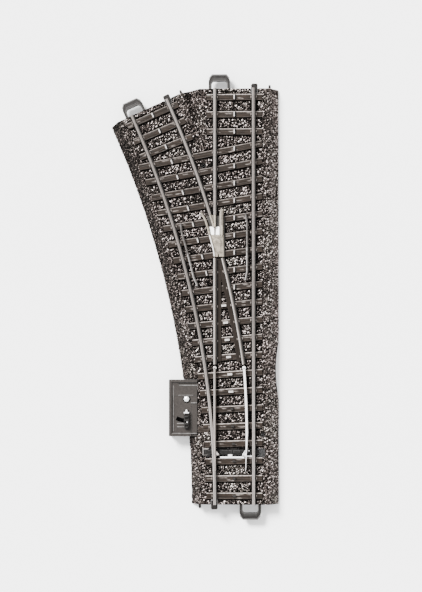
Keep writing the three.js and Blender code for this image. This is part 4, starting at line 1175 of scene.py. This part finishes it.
def handle_shapes():
    """The lever's handle: a dark ribbed body and the small pale arrow at its far end."""
    body, mark = Shape(), Shape()

    def plan(corners):
        return [(HANDLE_X + x, y) for x, y in corners]

    body.block(plan(mirrored([(0.9, 34.1), (1.2, 35.2), (1.2, 39.8), (0.8, 42.6)])), 7.15, 8.4, 0.25, 0.8)
    for y, half in ((34.5, 0.6), (36.0, 1.0), (37.6, 1.0), (39.2, 0.9)):
        body.block(plan(rectangle(-half, half, y, y + 0.7)), 8.3, 9.1, 0.15)
    mark.block(plan(rectangle(-1.15, 1.15, 41.1, 41.6)), 8.2, 9.0, 0.15)
    mark.block(plan(mirrored([(0.6, 41.5), (0.15, 42.8)])), 8.2, 9.2, 0.15)
    mark.block(plan(rectangle(0.1, 0.5, 36.9, 37.3)), 8.3, 8.8, 0.08)
    return body, mark


def rivet_shapes():
    """The rivet's domed head, and a dark ring round it as painted shadow."""
    head, ring = Shape(), Shape()
    dome = [(0.7, 2.0), (0.7, 6.9), (1.15, 7.1), (1.2, 7.35), (1.0, 7.6), (0.6, 7.75), (0.15, 7.8)]
    head.lathe(*LEVER_PLACE, dome, 0.5, 32)
    ring.lathe(*LEVER_PLACE, [(1.7, 6.9), (1.7, 7.06), (1.25, 7.12), (1.2, 7.02)], 0.0, 32)
    return head, ring


# From how many sleepers on each track's own studs stand.
SINGLE_STUDS = ((STRAIGHT, 12), (CURVED, 13))


def stud_shadows_shape():
    """Painted shadow: dark blocks on the sleepers beside the contact studs that stand in the single tracks,
    to their right.
    """
    shape = Shape()
    for sleeper in SLEEPERS:
        for track, first in SINGLE_STUDS:
            start = track.along_at_y(first * SLEEPER_PITCH)
            for place, heading in crossings(sleeper, track, 0.0, start, track.length):
                shadow_patch = placed(place, heading, rectangle(0.25, 0.95, -1.25, 1.25))
                shape.block(shadow_patch, SLEEPER_TOP - 0.2, SLEEPER_TOP + 0.05, 0.02, 0)
    return shape


def hand_built():
    """Each remaining piece: name, shape, material, slot, the CAD node it stands for if any, its body."""
    floor, casting, ramps = frog_shapes()
    handle, mark = handle_shapes()
    head, ring = rivet_shapes()
    guard_right = guard_shape(STRAIGHT, GUARD_OFFSET, *GUARD_SPANS[0], -GUARD_FLARE)
    guard_left = guard_shape(CURVED, -GUARD_OFFSET, *GUARD_SPANS[1], GUARD_FLARE)
    loops = [("fine_connector_loop_" + end, loop_shape(position, heading), BLACKENED, "contact_steel",
              "connector_loop_" + end) for end, position, heading in ENDS]
    return [
        ("frog_floor", floor, CAST, "cast_frog", "frog"),
        ("frog_casting", casting, CAST, "cast_frog", "frog"),
        ("frog_ramps", ramps, BLADE, "cast_frog", "frog"),
        ("fine_wing_rail", wing_rail_shape(), CAST, "rail_steel", "wing_rail"),
        ("fine_guard_straight", guard_right, GUARD, "guard_plastic", "guard_rail_straight"),
        ("fine_guard_diverging", guard_left, GUARD, "guard_plastic", "guard_rail_diverging"),
        ("fine_strip_straight", strip_shape(-1), STRIP, "dark_plastic", "flangeway_strip_straight"),
        ("fine_strip_curved", strip_shape(1), STRIP, "dark_plastic", "flangeway_strip_curved"),
        ("fine_blade_left", left_blade(), STEEL, "rail_steel", "blade_left", "blade_left"),
        ("fine_blade_right", right_blade(), BLADE, "rail_steel", "blade_right", "blade_right"),
        ("fine_throw_bar", throw_bar_shape(), DARK, "dark_plastic", "throw_bar", "throw_bar"),
        ("tie_rod", tie_rod_shape(), BLADE, "dark_plastic", "throw_bar", "throw_bar"),
        ("cover_details", cover_details_shape(), BOX_LINE, "box_plastic"),
        ("fine_lever_handle", handle, HANDLE, "box_plastic", "lever_handle", "hand_lever"),
        ("handle_mark", mark, MARK, "box_plastic", "lever_handle", "hand_lever"),
        ("fine_lever_rivet", head, RIVET, "cast_frog", "lever_rivet"),
        ("rivet_shadow_ring", ring, DARK, "dark_plastic"),
        ("stud_shadows", stud_shadows_shape(), DARK, "ballast_plastic"),
        ("pin_collars", pins_shape(), DARK, "ballast_plastic"),
        *loops,
    ]


# CAD nodes that only need rounded edges: node, material, slot, edge radius.
BEVELLED = (
    ("lever_housing", BOX, "box_plastic", 0.1),
    ("lever_cover", BOX, "box_plastic", 0.12),
    ("rail_joiner_toe", BLACKENED, "contact_steel", 0.12),
    ("rail_joiner_straight", BLACKENED, "contact_steel", 0.12),
    ("rail_joiner_diverging", BLACKENED, "contact_steel", 0.12),
)

# CAD nodes that stay as they are, with their materials.
CARRIED = {
    "blade_clip_left": SPRING, "blade_clip_right": SPRING, "drive_link": SPRING, "throw_bar_guide": DARK,
    "guide_screw_1": SPRING, "guide_screw_2": SPRING, "lever_arm": DARK, "detent_spring": SPRING,
    "contact_strip_shared": STUDS, "contact_strip_straight": SPRING, "contact_strip_diverging": SPRING,
}


def build_fittings():
    for name, shape, *rest in hand_built():
        add_piece(name, shape.mesh(name), *rest)
    for row in BEVELLED:
        bevelled(*row)
    for name, look in CARRIED.items():
        for place in frame["nodes"][name].material_slots:
            place.material = look


# ---------------------------------------------------------------- camera, floor and light

CAMERA_TARGET = Vector((-0.01056, 0.0941, 0.008))
CAMERA_AWAY = Vector((0.0548, -0.0279, 0.8683))
FLOOR_HALF, FLOOR_Z = 3.0, -0.0002


def add_camera():
    """A camera high above the object, slightly to its right, turned to look at the middle of the turnout."""
    data = bpy.data.cameras.new("camera")
    data.lens = 117
    data.sensor_width = 36
    camera = linked("camera", data)
    camera.location = CAMERA_TARGET + CAMERA_AWAY
    back = CAMERA_AWAY.normalized()
    right = Vector((0, 1, 0)).cross(back).normalized()
    camera.rotation_euler = Matrix((right, back.cross(right), back)).transposed().to_euler()
    bpy.context.scene.camera = camera


def add_stage():
    """A pale floor, a soft key light from the upper left and an even white surround."""
    mesh = bpy.data.meshes.new("floor")
    corners = rectangle(-FLOOR_HALF, FLOOR_HALF, -FLOOR_HALF, FLOOR_HALF)
    mesh.from_pydata([(x, y, FLOOR_Z) for x, y in corners], [], [(0, 1, 2, 3)])
    look, tree, shader = material("floor")
    shader.inputs["Roughness"].default_value = 0.9
    pale = ramp(tree, noise(tree, 3, 2), ((0.4, grey(0.93)), (0.6, grey(0.95))))
    tree.links.new(pale, shader.inputs["Base Color"])
    mesh.materials.append(look)
    linked("floor", mesh)

    key = bpy.data.lights.new("key", "SUN")
    key.energy = 15.0
    key.angle = math.radians(20)
    linked("key", key).rotation_euler = (math.radians(-32), math.radians(-32), 0)

    world = bpy.data.worlds.new("surround")
    world.use_nodes = True
    background = world.node_tree.nodes["Background"]
    background.inputs["Color"].default_value = (1, 1, 1, 1)
    background.inputs["Strength"].default_value = 2.0
    bpy.context.scene.world = world


add_camera()
build_bed()
build_rails()
build_fittings()
add_stage()
